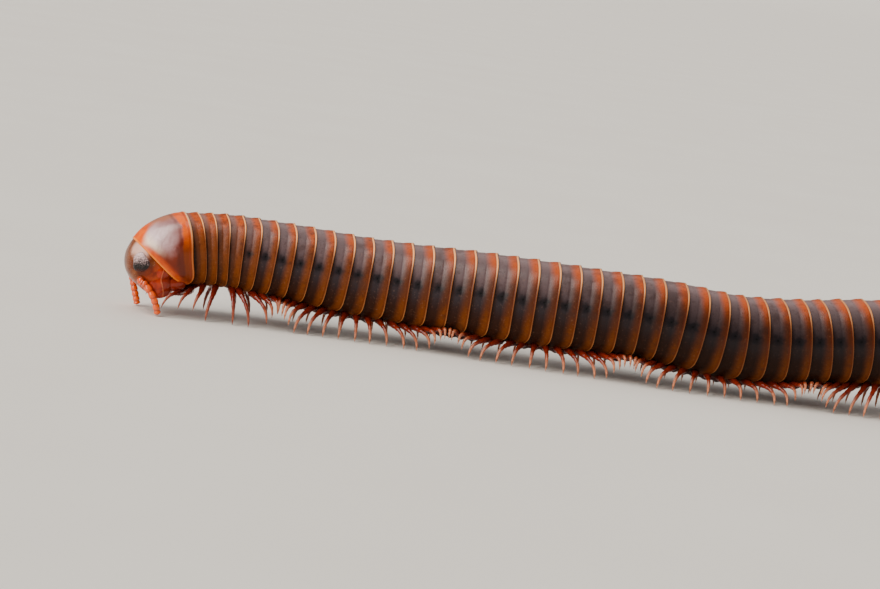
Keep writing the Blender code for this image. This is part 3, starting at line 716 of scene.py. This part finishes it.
def limb_finish(name, paints, shine):
    """Legs and antennae: a colour that runs from root to tip, darker at each joint, with cloudy variation,
    and with its own middle colour behind the front rings."""
    root, middle, rear_middle, tip, joint = [paint(*sample) for sample in paints]
    f = Finish(name, coat=shine, coat_roughness=0.1, gloss=0.2)
    reach, jointed, tone, tailward = f.values("reach", "joint", "tone", "tailward")
    cloud = f.noise(0.3 * MM, 3.0)
    spot = f.plus(reach, f.sway(cloud, 0.25))
    middle = f.blend(f.fade(tailward, 0.12, 0.3), middle, rear_middle)
    root = f.layer(f.fade(tailward, 0.22, 0.1), 0.7, root, middle)
    tip = f.layer(f.fade(tailward, 0.18, 0.1), 0.65, tip, middle)
    colour = f.blend(f.fade(spot, 0.08, 0.38), root, middle)
    colour = f.blend(f.fade(spot, 0.5, 0.92), colour, tip)
    colour = f.layer(jointed, 0.6, colour, joint)
    colour = f.layer(tone, 0.35, colour, root)
    f.relief(f.noise(0.09 * MM, 2.0), 0.006 * MM, 0.7)
    f.shader.inputs["Subsurface Weight"].default_value = 0.12
    f.shader.inputs["Subsurface Radius"].default_value = (1.0, 0.35, 0.12)
    f.shader.inputs["Subsurface Scale"].default_value = 0.25 * MM
    return f.done(colour, f.raised(0.22, cloud, 0.16))


def floor_finish():
    """Floor: nearly white, with faint broad clouds."""
    f = Finish("pale_floor", gloss=0.3)
    grain = f.noise(30 * MM, 3.0)
    colour = f.blend(grain, paint(226, 222, 215), paint(234, 231, 225))
    return f.done(colour, 0.75)


# Pieces of the trunk


def ring_nets(first, last):
    """Rings as hoops: their wall's smooth closed loop carried round the body, flatter and hooked forward at
    the belly, and drawn forward over the back."""
    rings = np.arange(first, last + 1)[:, None, None]
    wall = smooth_columns(RING_WALL + RING_WALL[:1], RING_WALL_ROWS + 1)
    share, wide = [values[None, :-1, None] for values in wall]
    turn = full_turn(RING_COLUMNS)[None, None, :]
    from_belly = np.minimum(turn, 2 * math.pi - turn)
    hook = RIM_HOOK_SHARE * bump_curve(from_belly, RIM_HOOK_ANGLE)
    dip = np.interp(rings, *zip(*RIM_DIP_SHARES)) * bump_curve(math.pi - from_belly, RIM_DIP_ANGLE)
    places = rings - 1 + share - hook - dip
    centre, _, right, up = ring_axes(places)
    phase = rng.uniform(0, 2 * math.pi, (len(rings), 1, 1))
    wavy = 1 + RING_WAVINESS * np.sin(3 * turn + phase)
    flat = 1 - BELLY_FLATTENING * bump_curve(from_belly, BELLY_HALF_ANGLE)
    radius = (body_radius(places) * wide * flat * wavy)[..., None]
    points = centre + radius * (right * np.sin(turn)[..., None] - up * np.cos(turn)[..., None])
    tone = rng.uniform(-1, 1, (len(rings), 1, 1))
    return net(points, rows_meet=True, band=share, angle=math.pi - from_belly, tone=tone,
               tailward=rings / LAST_PLACE)


def hips(first, last):
    """Ring numbers and sides (-1 left, 1 right) of all legs on the rings first to last."""
    places = []
    for ring in range(first, min(last, LAST_LEGGED_RING) + 1):
        places += FRONT_HIPS.get(ring, tuple(ring - 1 + share for share in DOUBLE_HIPS))
    return np.repeat(places, 2), np.tile([-1.0, 1.0], len(places))


def leg_nets(first, last):
    """Legs as tubes on a cubic curve from hip to foot, straighter between joints and swollen at each."""
    places, sides = hips(first, last)
    centre, back, right, up = ring_axes(places)
    phase = 2 * math.pi * (places - WAVE_CENTRE) / WAVE_RINGS
    swing = -STRIDE * np.arcsin(WAVE_SHARPNESS * np.sin(phase)) / math.asin(WAVE_SHARPNESS)
    lift = LIFT * np.maximum(0.0, np.cos(phase)) ** LIFT_FULLNESS
    front = np.interp(places, FRONT_STANCE_PLACES, (1.0, 0.0))
    lean = np.interp(places, FRONT_LEAN_PLACES, FRONT_LEANS_MM) * MM
    swing = swing * (1 - front) - lean * front + rng.normal(0, FOOT_UNEVENNESS, len(places))
    raised = np.interp(places, FRONT_LIFT_PLACES, (1.0, 0.0))
    lift = lift * (1 - front) ** 2 + FRONT_LIFT * raised
    belly = body_radius(places) * (1 - BELLY_FLATTENING)
    outward = right * sides[:, None]
    sink = np.interp(places, BREAST_HIP_PLACES, BREAST_HIP_SINKS_MM) * MM
    hip = centre + outward * HIP_OFFSET + up * (HIP_DEPTH - belly - sink)[:, None]
    foot = centre + back * swing[:, None] + outward * FOOT_OFFSET
    foot[:, 2] = lift + FOOT_CLEARANCE
    drop = np.zeros_like(hip)
    drop[:, 2] = sink - LEG_ROOT_DROP * (1 + front)
    hip_pull = hip + outward * LEG_ROOT_REACH + drop + back * (swing * KNEE_SWING_SHARE)[:, None]
    foot_pull = foot + np.array([0.0, 0.0, SHIN_REACH]) - back * (swing * raised * SHIN_LEAN_SHARE)[:, None]

    def curve(t):
        """Places on the cubic curves, from hip (t = 0) to foot (t = 1)."""
        t = np.asarray(t)[None, :, None]
        return (hip[:, None] * (1 - t) ** 3 + 3 * hip_pull[:, None] * t * (1 - t) ** 2
                + 3 * foot_pull[:, None] * t ** 2 * (1 - t) + foot[:, None] * t ** 3)

    reach = np.linspace(0, 1, LEG_ROWS)
    joints = curve(LEG_JOINTS)
    span = np.clip(np.searchsorted(LEG_JOINTS, reach, side="right") - 1, 0, len(LEG_JOINTS) - 2)
    share = (reach - LEG_JOINTS[span]) / (LEG_JOINTS[span + 1] - LEG_JOINTS[span])
    straight = joints[:, span] * (1 - share)[None, :, None] + joints[:, span + 1] * share[None, :, None]
    lines = straight * LEG_STRAIGHTNESS + curve(reach) * (1 - LEG_STRAIGHTNESS)
    swell = 1 + LEG_JOINT_SWELL * (share ** 2 - 0.8 * (1 - share) ** 6)
    slim = 1 - FRONT_ROOT_SLIMNESS * front[:, None] * bump_curve(reach, FRONT_ROOT_REACH)[None]
    widths = smooth(LEG_HALF_WIDTHS_MM, reach) * MM * swell * slim
    jointed = np.maximum((1 - share) ** 8, share ** 14)[None, :, None]
    points = tube(lines, widths, back, LEG_SIDES)
    tone = rng.uniform(0, 1, (len(places), 1, 1))
    return net(points, reach=reach[None, :, None], joint=jointed, tone=tone,
               tailward=places[:, None, None] / LAST_PLACE)


def root_strip_net(first, last):
    """Strip of leg bases under the rings first to last: an ellipse carried along the belly, swollen at each
    pair of legs and slimmer towards its ends."""
    start = max(first - 0.9, ROOT_STRIP_START)
    stop = min(last, LAST_LEGGED_RING) - 0.1
    places = np.linspace(start, stop, ROOT_STRIP_ROWS_PER_RING * (last - first + 1))
    centre, _, right, up = ring_axes(places)
    turn = full_turn(ROOT_STRIP_COLUMNS)[None, :, None]
    swollen = 1 + ROOT_STRIP_SWELL * np.cos(4 * math.pi * (places - DOUBLE_HIPS[0]))
    ends = np.sqrt(np.clip((places - start) * 2, 0.01, 1) * np.clip((stop - places) * 2, 0.01, 1))
    size = (swollen * ends)[:, None, None]
    middle = centre - up * (body_radius(places) * (1 - BELLY_FLATTENING) - ROOT_STRIP_SINK)[:, None]
    points = (middle[:, None] + right[:, None] * ROOT_STRIP_HALF_WIDTH * size * np.sin(turn)
              - up[:, None] * ROOT_STRIP_HALF_DEPTH * size * np.cos(turn))
    return net(points[None], reach=0.0, joint=0.0, tone=0.4, tailward=places[None, :, None] / LAST_PLACE)


# Pieces of the head end


def collum_net():
    """Collar shield: a dome about the body's axis, from the rear rim to a slanted front margin, with a wall.
    Along each meridian the radius is R cos(a) and the reach L sin(a); the wall's loop runs out and back."""
    turn = np.linspace(-COLLUM_HALF_TURN, COLLUM_HALF_TURN, COLLUM_COLUMNS)
    radius = float(body_radius(1.0))
    rise = COLLUM_LENGTH * math.sin(COLLUM_SLANT)
    fall = radius * np.cos(turn) * math.cos(COLLUM_SLANT)
    level = COLLUM_TOP[0] * math.sin(COLLUM_SLANT) - COLLUM_TOP[1] * math.cos(COLLUM_SLANT)
    last = np.arcsin(np.clip(level / np.hypot(rise, fall), -1, 1)) + np.arctan2(fall, rise)
    corner = COLLUM_CORNER_SHARE * np.abs(turn / COLLUM_HALF_TURN) ** COLLUM_CORNER_POWER
    middle = last * COLLUM_CORNER_LEVEL
    start = middle * corner - 0.02 * (1 - corner) + 0.05 * bump_curve(np.abs(turn) - 1.7, 0.55)
    stop = last + (middle - last) * corner
    out = np.linspace(0, 1, COLLUM_ROWS)
    share = np.concatenate([out, out[::-1]])
    depth = np.repeat([0.0, 1.0], COLLUM_ROWS)
    a = start[None, :] + (stop - start)[None, :] * share[:, None]
    from_front = (stop[None, :] - a) * COLLUM_MEAN_ARC_MM
    from_rear = (a - start[None, :]) * COLLUM_MEAN_ARC_MM
    groove = bump_curve(from_rear - 0.4, 0.12)
    front_bead = bump_curve(from_front, COLLUM_FRONT_BEAD_MM)
    rear_bead = bump_curve(from_rear, COLLUM_REAR_BEAD_MM)
    margin = front_bead + 0.9 * rear_bead - 0.35 * groove
    soft_edge = 0.35 * (bump_curve(from_front, COLLUM_EDGE_MM) + bump_curve(from_rear, COLLUM_EDGE_MM))
    skin = COLLUM_MARGIN_BEAD * margin - COLLUM_WALL * soft_edge
    lift = np.where(depth[:, None] > 0.5, -COLLUM_WALL * (1 - soft_edge), skin)
    across = radius * np.cos(a) + lift
    forward = (COLLUM_LENGTH + lift) * np.sin(a)
    points = head_point(forward, -across * np.sin(turn), across * np.cos(turn))
    return net(points.transpose(1, 0, 2), from_front=from_front.T, from_rear=from_rear.T,
               angle=np.abs(turn)[:, None])


def head_net():
    """Head: level slices that are superellipses, from the crown to the lip, with a groove above the lip and a
    notch in it."""
    up, front, rear, half = [column[:, None] for column in smooth_columns(HEAD_LEVELS_MM, HEAD_ROWS)]
    turn = full_turn(HEAD_COLUMNS)
    along = keeping_sign(np.cos(turn), 2 / HEAD_SQUARENESS)
    across = keeping_sign(np.sin(turn), 2 / HEAD_SQUARENESS)
    ahead = (front + rear) / 2 + (front - rear) / 2 * along
    aside = half * across
    level = np.broadcast_to(up, ahead.shape)
    facing_front = np.clip(along, 0, 1)
    depth, width, height, middle = LIP_NOTCH_MM
    notch = depth * bump_curve(aside, width) * bump_curve(level - middle, height)
    depth, height, middle = LIP_GROOVE_MM
    groove = depth * bump_curve(level - middle, height)
    ahead = ahead - (notch + groove) * facing_front
    points = head_point(ahead * MM, aside * MM, level * MM)
    return net(points, level=level, ahead=ahead, aside=aside)


def facing_axes(facing, side):
    """Three world axes for a small piece on the head, along it, across it and outwards; facing is given for
    the left side (1) and mirrored for the right (-1)."""
    outward = unit(placed(0.0, HEAD_AXES, facing[0], side * facing[1], facing[2]))
    along = unit(np.cross(HEAD_UP, outward))
    return along, np.cross(outward, along), outward


def block(place, half_size_mm, axes=HEAD_AXES, squareness=2.2, rows=36, columns=56):
    """Rounded block: points of a superellipsoid with the given half sizes along three axes, and the shares of
    the half sizes that the points reach."""
    polar = np.linspace(0.02, math.pi - 0.02, rows)[:, None]
    turn = full_turn(columns)[None, :]
    power = 2 / squareness
    ring = np.sin(polar) ** power
    x = ring * keeping_sign(np.cos(turn), power)
    y = ring * keeping_sign(np.sin(turn), power)
    z = keeping_sign(np.cos(polar), power) + 0 * turn
    sizes = [part * size * MM for part, size in zip((x, y, z), half_size_mm)]
    return placed(place, axes, *sizes), x, y, z


def plate_net(plate, side):
    """Mouth plate: a rounded block; its ridge is a weighted sum of x, y and z and a constant, which is 0
    along the plate's seam."""
    place_mm, half_size_mm, ridge = plate
    points, x, y, z = block(head_place(place_mm, side), half_size_mm)
    return net(points, ridge=ridge[0] * x + ridge[1] * y + ridge[2] * z + ridge[3])


def breast_net():
    """Breast under the collar shield: a low rounded block, tilted up towards ring 2, that carries the first
    legs."""
    forward = -HEAD_BACK * math.cos(BREAST_TILT) - HEAD_UP * math.sin(BREAST_TILT)
    upward = HEAD_UP * math.cos(BREAST_TILT) - HEAD_BACK * math.sin(BREAST_TILT)
    axes = (forward, -HEAD_RIGHT, upward)
    points, x, _, _ = block(head_place(BREAST_PLACE_MM, 1), BREAST_HALF_SIZE_MM, axes, BREAST_SQUARENESS)
    return net(points[None], reach=0.4 + 0.1 * np.abs(x)[None], joint=0.0, tone=0.0, tailward=0.0)


def eye_net(side):
    """Eye field: a low dome whose surface swells at the points of a six-sided grid of facets, with a last row
    sunk into the head."""
    axes = facing_axes(EYE_FACING, side)
    polar = np.linspace(0.01, 1.0, EYE_ROWS)[:, None]
    turn = full_turn(EYE_COLUMNS)[None, :]
    half_x, half_y, rise = EYE_HALF_SIZE_MM
    uneven = 1 + 0.05 * np.cos(3 * turn + 1) + 0.03 * np.cos(5 * turn)
    x = half_x * polar * uneven * np.cos(turn)
    y = half_y * polar * uneven * np.sin(turn)
    row = np.round(y / (EYE_FACET_PITCH_MM * EYE_FACET_ROW_SHARE))
    column = np.round(x / EYE_FACET_PITCH_MM - 0.5 * (row % 2))
    from_x = x - (column + 0.5 * (row % 2)) * EYE_FACET_PITCH_MM
    from_y = y - row * EYE_FACET_PITCH_MM * EYE_FACET_ROW_SHARE
    reach = EYE_FACET_PITCH_MM * EYE_FACET_REACH_SHARE
    facet = np.clip(1 - (from_x ** 2 + from_y ** 2) / reach ** 2, 0, 1)
    inside = np.clip((1 - polar) * 8, 0, 1)
    dome = rise * (np.sqrt(np.clip(1 - (0.93 * polar) ** 2, 0, 1)) - 0.6)
    z = dome + EYE_FACET_RISE_MM * facet * inside
    x = np.concatenate([x, x[-1:]])
    y = np.concatenate([y, y[-1:]])
    z = np.concatenate([z, 0 * z[-1:] - EYE_SINK_MM])
    points = placed(head_place(EYE_PLACE_MM, side), axes, x * MM, y * MM, z * MM)
    return net(points, facet=np.concatenate([facet * inside, facet[-1:] * 0]), high=y)


def antenna_nets(path_mm, side):
    """Antenna: a tube on a smooth path, each article swelling towards its far end, with a blunt cone last,
    and a small ball that fills the socket at its root."""
    rows = np.linspace(0, 1, ANTENNA_ROWS)
    line = head_point(*[part * MM for part in smooth_columns(path_mm, ANTENNA_ROWS)])
    span = np.clip(np.searchsorted(ANTENNA_JOINTS, rows, side="right") - 1, 0, len(ANTENNA_JOINTS) - 2)
    share = (rows - ANTENNA_JOINTS[span]) / (ANTENNA_JOINTS[span + 1] - ANTENNA_JOINTS[span])
    swell = 0.78 + 0.22 * np.sin(math.pi * share ** 1.35) ** 0.7
    blunt = np.sqrt(np.clip((1.0 - rows) / 0.05, 0.02, 1))
    widths = ANTENNA_RADIUS * swell * blunt
    jointed = bump_curve(np.minimum(share, 1 - share), 0.13)
    points = tube(line[None], widths[None], HEAD_RIGHT[None], ANTENNA_SIDES)
    root_size_mm = (ANTENNA_ROOT_RADIUS_MM,) * 3
    root = block(head_place(SOCKET_PLACE_MM, side), root_size_mm, squareness=2.0, rows=20, columns=32)[0]
    return [net(points, reach=rows[None, :, None], joint=jointed[None, :, None], tone=0.0),
            net(root[None], reach=0.12, joint=0.0, tone=0.2)]


def socket_net(side):
    """Ring of shell round the root of an antenna: a small circle carried round a larger one."""
    around = full_turn(SOCKET_ROWS)[:, None]
    wall = full_turn(SOCKET_COLUMNS)[None, :]
    reach = (SOCKET_RADIUS_MM + SOCKET_WALL_RADIUS_MM * np.cos(wall)) * MM
    rise = SOCKET_WALL_RADIUS_MM * MM * np.sin(wall) + 0 * around
    place = head_place(SOCKET_PLACE_MM, side)
    axes = facing_axes(SOCKET_FACING, side)
    points = placed(place, axes, reach * np.cos(around), reach * np.sin(around), rise)
    return net(points, rows_meet=True, level=-2.4, ahead=4.0, aside=2.0)


# Pieces of the tail end


def telson_net():
    """Last segment: hoops that narrow behind the last ring, slanted, drawn out to a blunt point on top."""
    radius = float(body_radius(RINGS))
    reach, wide = smooth_columns(TELSON_PROFILE_MM, TELSON_ROWS)
    reach = np.concatenate([reach, reach[::-1] - TELSON_WALL])[:, None] * MM
    wide = np.concatenate([wide, wide[::-1] - TELSON_WALL])[:, None]
    turn = full_turn(TELSON_COLUMNS)[None, :]
    from_top = np.abs(math.pi - turn)
    share = reach / (TELSON_PROFILE_MM[-1][0] * MM)
    high = -radius * wide * np.cos(turn)
    point = TELSON_POINT * bump_curve(from_top, TELSON_POINT_ANGLE) * share ** 3
    along = reach + TELSON_SLANT * high * share + point
    points = placed(TAIL_CENTRE, TAIL_AXES, along, radius * wide * np.sin(turn), high)
    band = np.clip(0.45 + 0.47 * share, 0, 1)
    return net(points, rows_meet=True, band=band, angle=from_top, tone=0.3, tailward=TAIL_TAILWARD)


def valve_net(side):
    """Anal valve: half of a rounded block, cut along the body's middle plane, with a raised inner margin."""
    lift = np.linspace(0.0, math.pi / 2 - 0.02, VALVE_ROWS)[:, None]
    turn = full_turn(VALVE_COLUMNS)[None, :]
    bead = 1 + 0.07 * bump_curve(lift - 0.1, 0.09) - 0.05 * bump_curve(lift, 0.05)
    half_x, half_y, half_z = [size * MM for size in VALVE_HALF_SIZE_MM]
    x = half_x * np.cos(lift) * np.cos(turn) * bead + VALVE_CENTRE
    y = (half_y * np.sin(lift) + VALVE_GAP) * side + 0 * turn
    z = half_z * np.cos(lift) * np.sin(turn) * bead
    points = placed(TAIL_CENTRE, TAIL_AXES, x, y, z)
    return net(points, band=0.7 - 0.2 * lift, angle=1.9, tone=0.0, tailward=TAIL_TAILWARD)


def scale_net():
    """Plate under the valves: a flat ball that slopes up to the rear."""
    polar = np.linspace(0.02, math.pi - 0.02, SCALE_ROWS)[:, None]
    turn = full_turn(SCALE_COLUMNS)[None, :]
    half_x, half_y, half_z = [size * MM for size in SCALE_HALF_SIZE_MM]
    x = half_x * np.sin(polar) * np.cos(turn)
    y = half_y * np.sin(polar) * np.sin(turn)
    z = half_z * np.cos(polar) + SCALE_SLOPE * x
    place = placed(TAIL_CENTRE, TAIL_AXES, *[part * MM for part in SCALE_PLACE_MM])
    return net(placed(place, TAIL_AXES, x, y, z), band=0.75, angle=2.0, tone=0.0, tailward=TAIL_TAILWARD)


# Putting the animal together


def build_trunk(shell, limb):
    """Ring shells and legs, one piece of each for every length of rings, with the breast in the first legs'
    piece."""
    for number in range(1, (RINGS - 1) // RINGS_PER_LENGTH + 1):
        first = 2 + (number - 1) * RINGS_PER_LENGTH
        last = first + RINGS_PER_LENGTH - 1
        node = f"trunk_{number}"
        make_piece(f"ring_shells_{first}_to_{last}", [ring_nets(first, last)], shell, (node,))
        limbs = [leg_nets(first, last), root_strip_net(first, last)] + ([breast_net()] if number == 1 else [])
        make_piece(f"legs_of_rings_{first}_to_{last}", limbs, limb, ())


def build_head_end(limb):
    """Collar shield, head, jaws, chin, eyes and feelers."""
    make_piece("collar_shield", [collum_net()], collum_finish(), ("collum",))
    skull = [head_net(), socket_net(1), socket_net(-1)]
    make_piece("head_capsule", skull, head_finish(), ("head",))
    mouth = mouth_finish()
    eye = eye_finish()
    for side, label in ((1, "left"), (-1, "right")):
        jaw = [plate_net(plate, side) for plate in (CHEEK_PLATE, HINGE_PLATE, JAW_REAR_PLATE)]
        make_piece(f"jaw_{label}", jaw, mouth, (f"mandible_{label}",))
        make_piece(f"eye_field_{label}", [eye_net(side)], eye, (f"eye_{label}",))
    make_piece("chin_plate", [plate_net(CHIN_PLATE, 1)], mouth, ("gnathochilarium",))
    make_piece("feeler_left", antenna_nets(ANTENNA_LEFT_MM, 1), limb, ("antenna_left",))
    make_piece("feeler_right", antenna_nets(ANTENNA_RIGHT_MM, -1), limb, ("antenna_right",))


def build_tail_end(shell):
    """Tail ring with the plate under the valves, and the two anal valves."""
    make_piece("tail_segment", [telson_net(), scale_net()], shell, ("telson",))
    for side, label in ((-1, "left"), (1, "right")):
        name = f"anal_valve_shell_{label}"
        make_piece(name, [valve_net(side)], shell, (f"anal_valve_{label}",))


# Studio


def build_floor():
    """Level floor whose far edge rises a little, z = c (r - r0)^2, so that it fills the picture's corners."""
    steps = np.linspace(-FLOOR_HALF_SIDE, FLOOR_HALF_SIDE, FLOOR_ROWS)
    x, y = np.meshgrid(steps, steps)
    z = FLOOR_EDGE_RISE * np.clip(np.hypot(x, y) - FLOOR_LEVEL_REACH, 0, None) ** 2
    corners = np.stack([x, y, z], axis=-1).reshape(-1, 3)
    mesh = bpy.data.meshes.new("floor")
    mesh.from_pydata(corners.tolist(), [], net_faces(len(steps), len(steps), False, False).tolist())
    mesh.shade_smooth()
    mesh.materials.append(floor_finish())
    floor = bpy.data.objects.new("floor", mesh)
    bpy.context.scene.collection.objects.link(floor)


def set_pose(holder, side, up, outward, place):
    """Turns and places an object so that its x, y and z axes are side, up and outward."""
    turned = Matrix([[float(value) for value in axis] for axis in (side, up, outward)]).transposed()
    holder.matrix_world = Matrix.Translation([float(value) for value in place]) @ turned.to_4x4()
    bpy.context.scene.collection.objects.link(holder)


def build_light(name, direction_deg, spread_deg, power, colour):
    """Even light from far off: its direction is the azimuth from the camera's side towards the head and the
    height above the floor, and its spread the width of its disc, all in degrees."""
    azimuth, height = np.radians(direction_deg)
    lamp = bpy.data.lights.new(name, "SUN")
    lamp.angle = math.radians(spread_deg)
    lamp.energy = power
    lamp.color = colour
    outward = np.array([-math.sin(azimuth) * math.cos(height), -math.cos(azimuth) * math.cos(height),
                        math.sin(height)])
    side = unit(np.cross(WORLD_UP, outward))
    light = bpy.data.objects.new(name, lamp)
    set_pose(light, side, np.cross(outward, side), outward, outward * LIGHT_DISTANCE)


def build_camera():
    """Camera at the photograph's angle: level direction +Y, looking down a little, rolled with the slope."""
    outward = np.array([0.0, -math.cos(CAMERA_ELEVATION), math.sin(CAMERA_ELEVATION)])
    right = np.array([1.0, 0.0, 0.0])
    up = np.cross(outward, right)
    side = math.cos(CAMERA_ROLL) * right + math.sin(CAMERA_ROLL) * up
    top = math.cos(CAMERA_ROLL) * up - math.sin(CAMERA_ROLL) * right
    lens = bpy.data.cameras.new("camera")
    lens.lens = CAMERA_LENS_MM
    lens.sensor_width = CAMERA_SENSOR_MM
    lens.clip_start = CAMERA_NEAREST
    camera = bpy.data.objects.new("camera", lens)
    set_pose(camera, side, top, outward, np.array(CAMERA_TARGET) + outward * CAMERA_DISTANCE)
    bpy.context.scene.camera = camera


def build_studio():
    """Floor, a broad key light made of soft discs in two curved rows, a wide soft light from behind, even air
    and the camera."""
    build_floor()
    for count, direction in enumerate(KEY_DIRECTIONS_DEG):
        build_light(f"key_{count + 1}", direction, KEY_SPREAD_DEG, KEY_POWER, KEY_COLOUR)
    build_light("back_light", BACK_DIRECTION_DEG, BACK_SPREAD_DEG, BACK_POWER, BACK_COLOUR)
    world = bpy.data.worlds.new("studio_air")
    world.use_nodes = True
    air = world.node_tree.nodes["Background"].inputs
    air[0].default_value = AIR_COLOUR
    air[1].default_value = AIR_POWER
    bpy.context.scene.world = world
    build_camera()


shell = ring_finish()
build_trunk(shell, limb_finish("leg_shell", LEG_PAINTS, LEG_SHINE))
build_head_end(limb_finish("feeler_shell", FEELER_PAINTS, FEELER_SHINE))
build_tail_end(shell)
build_studio()
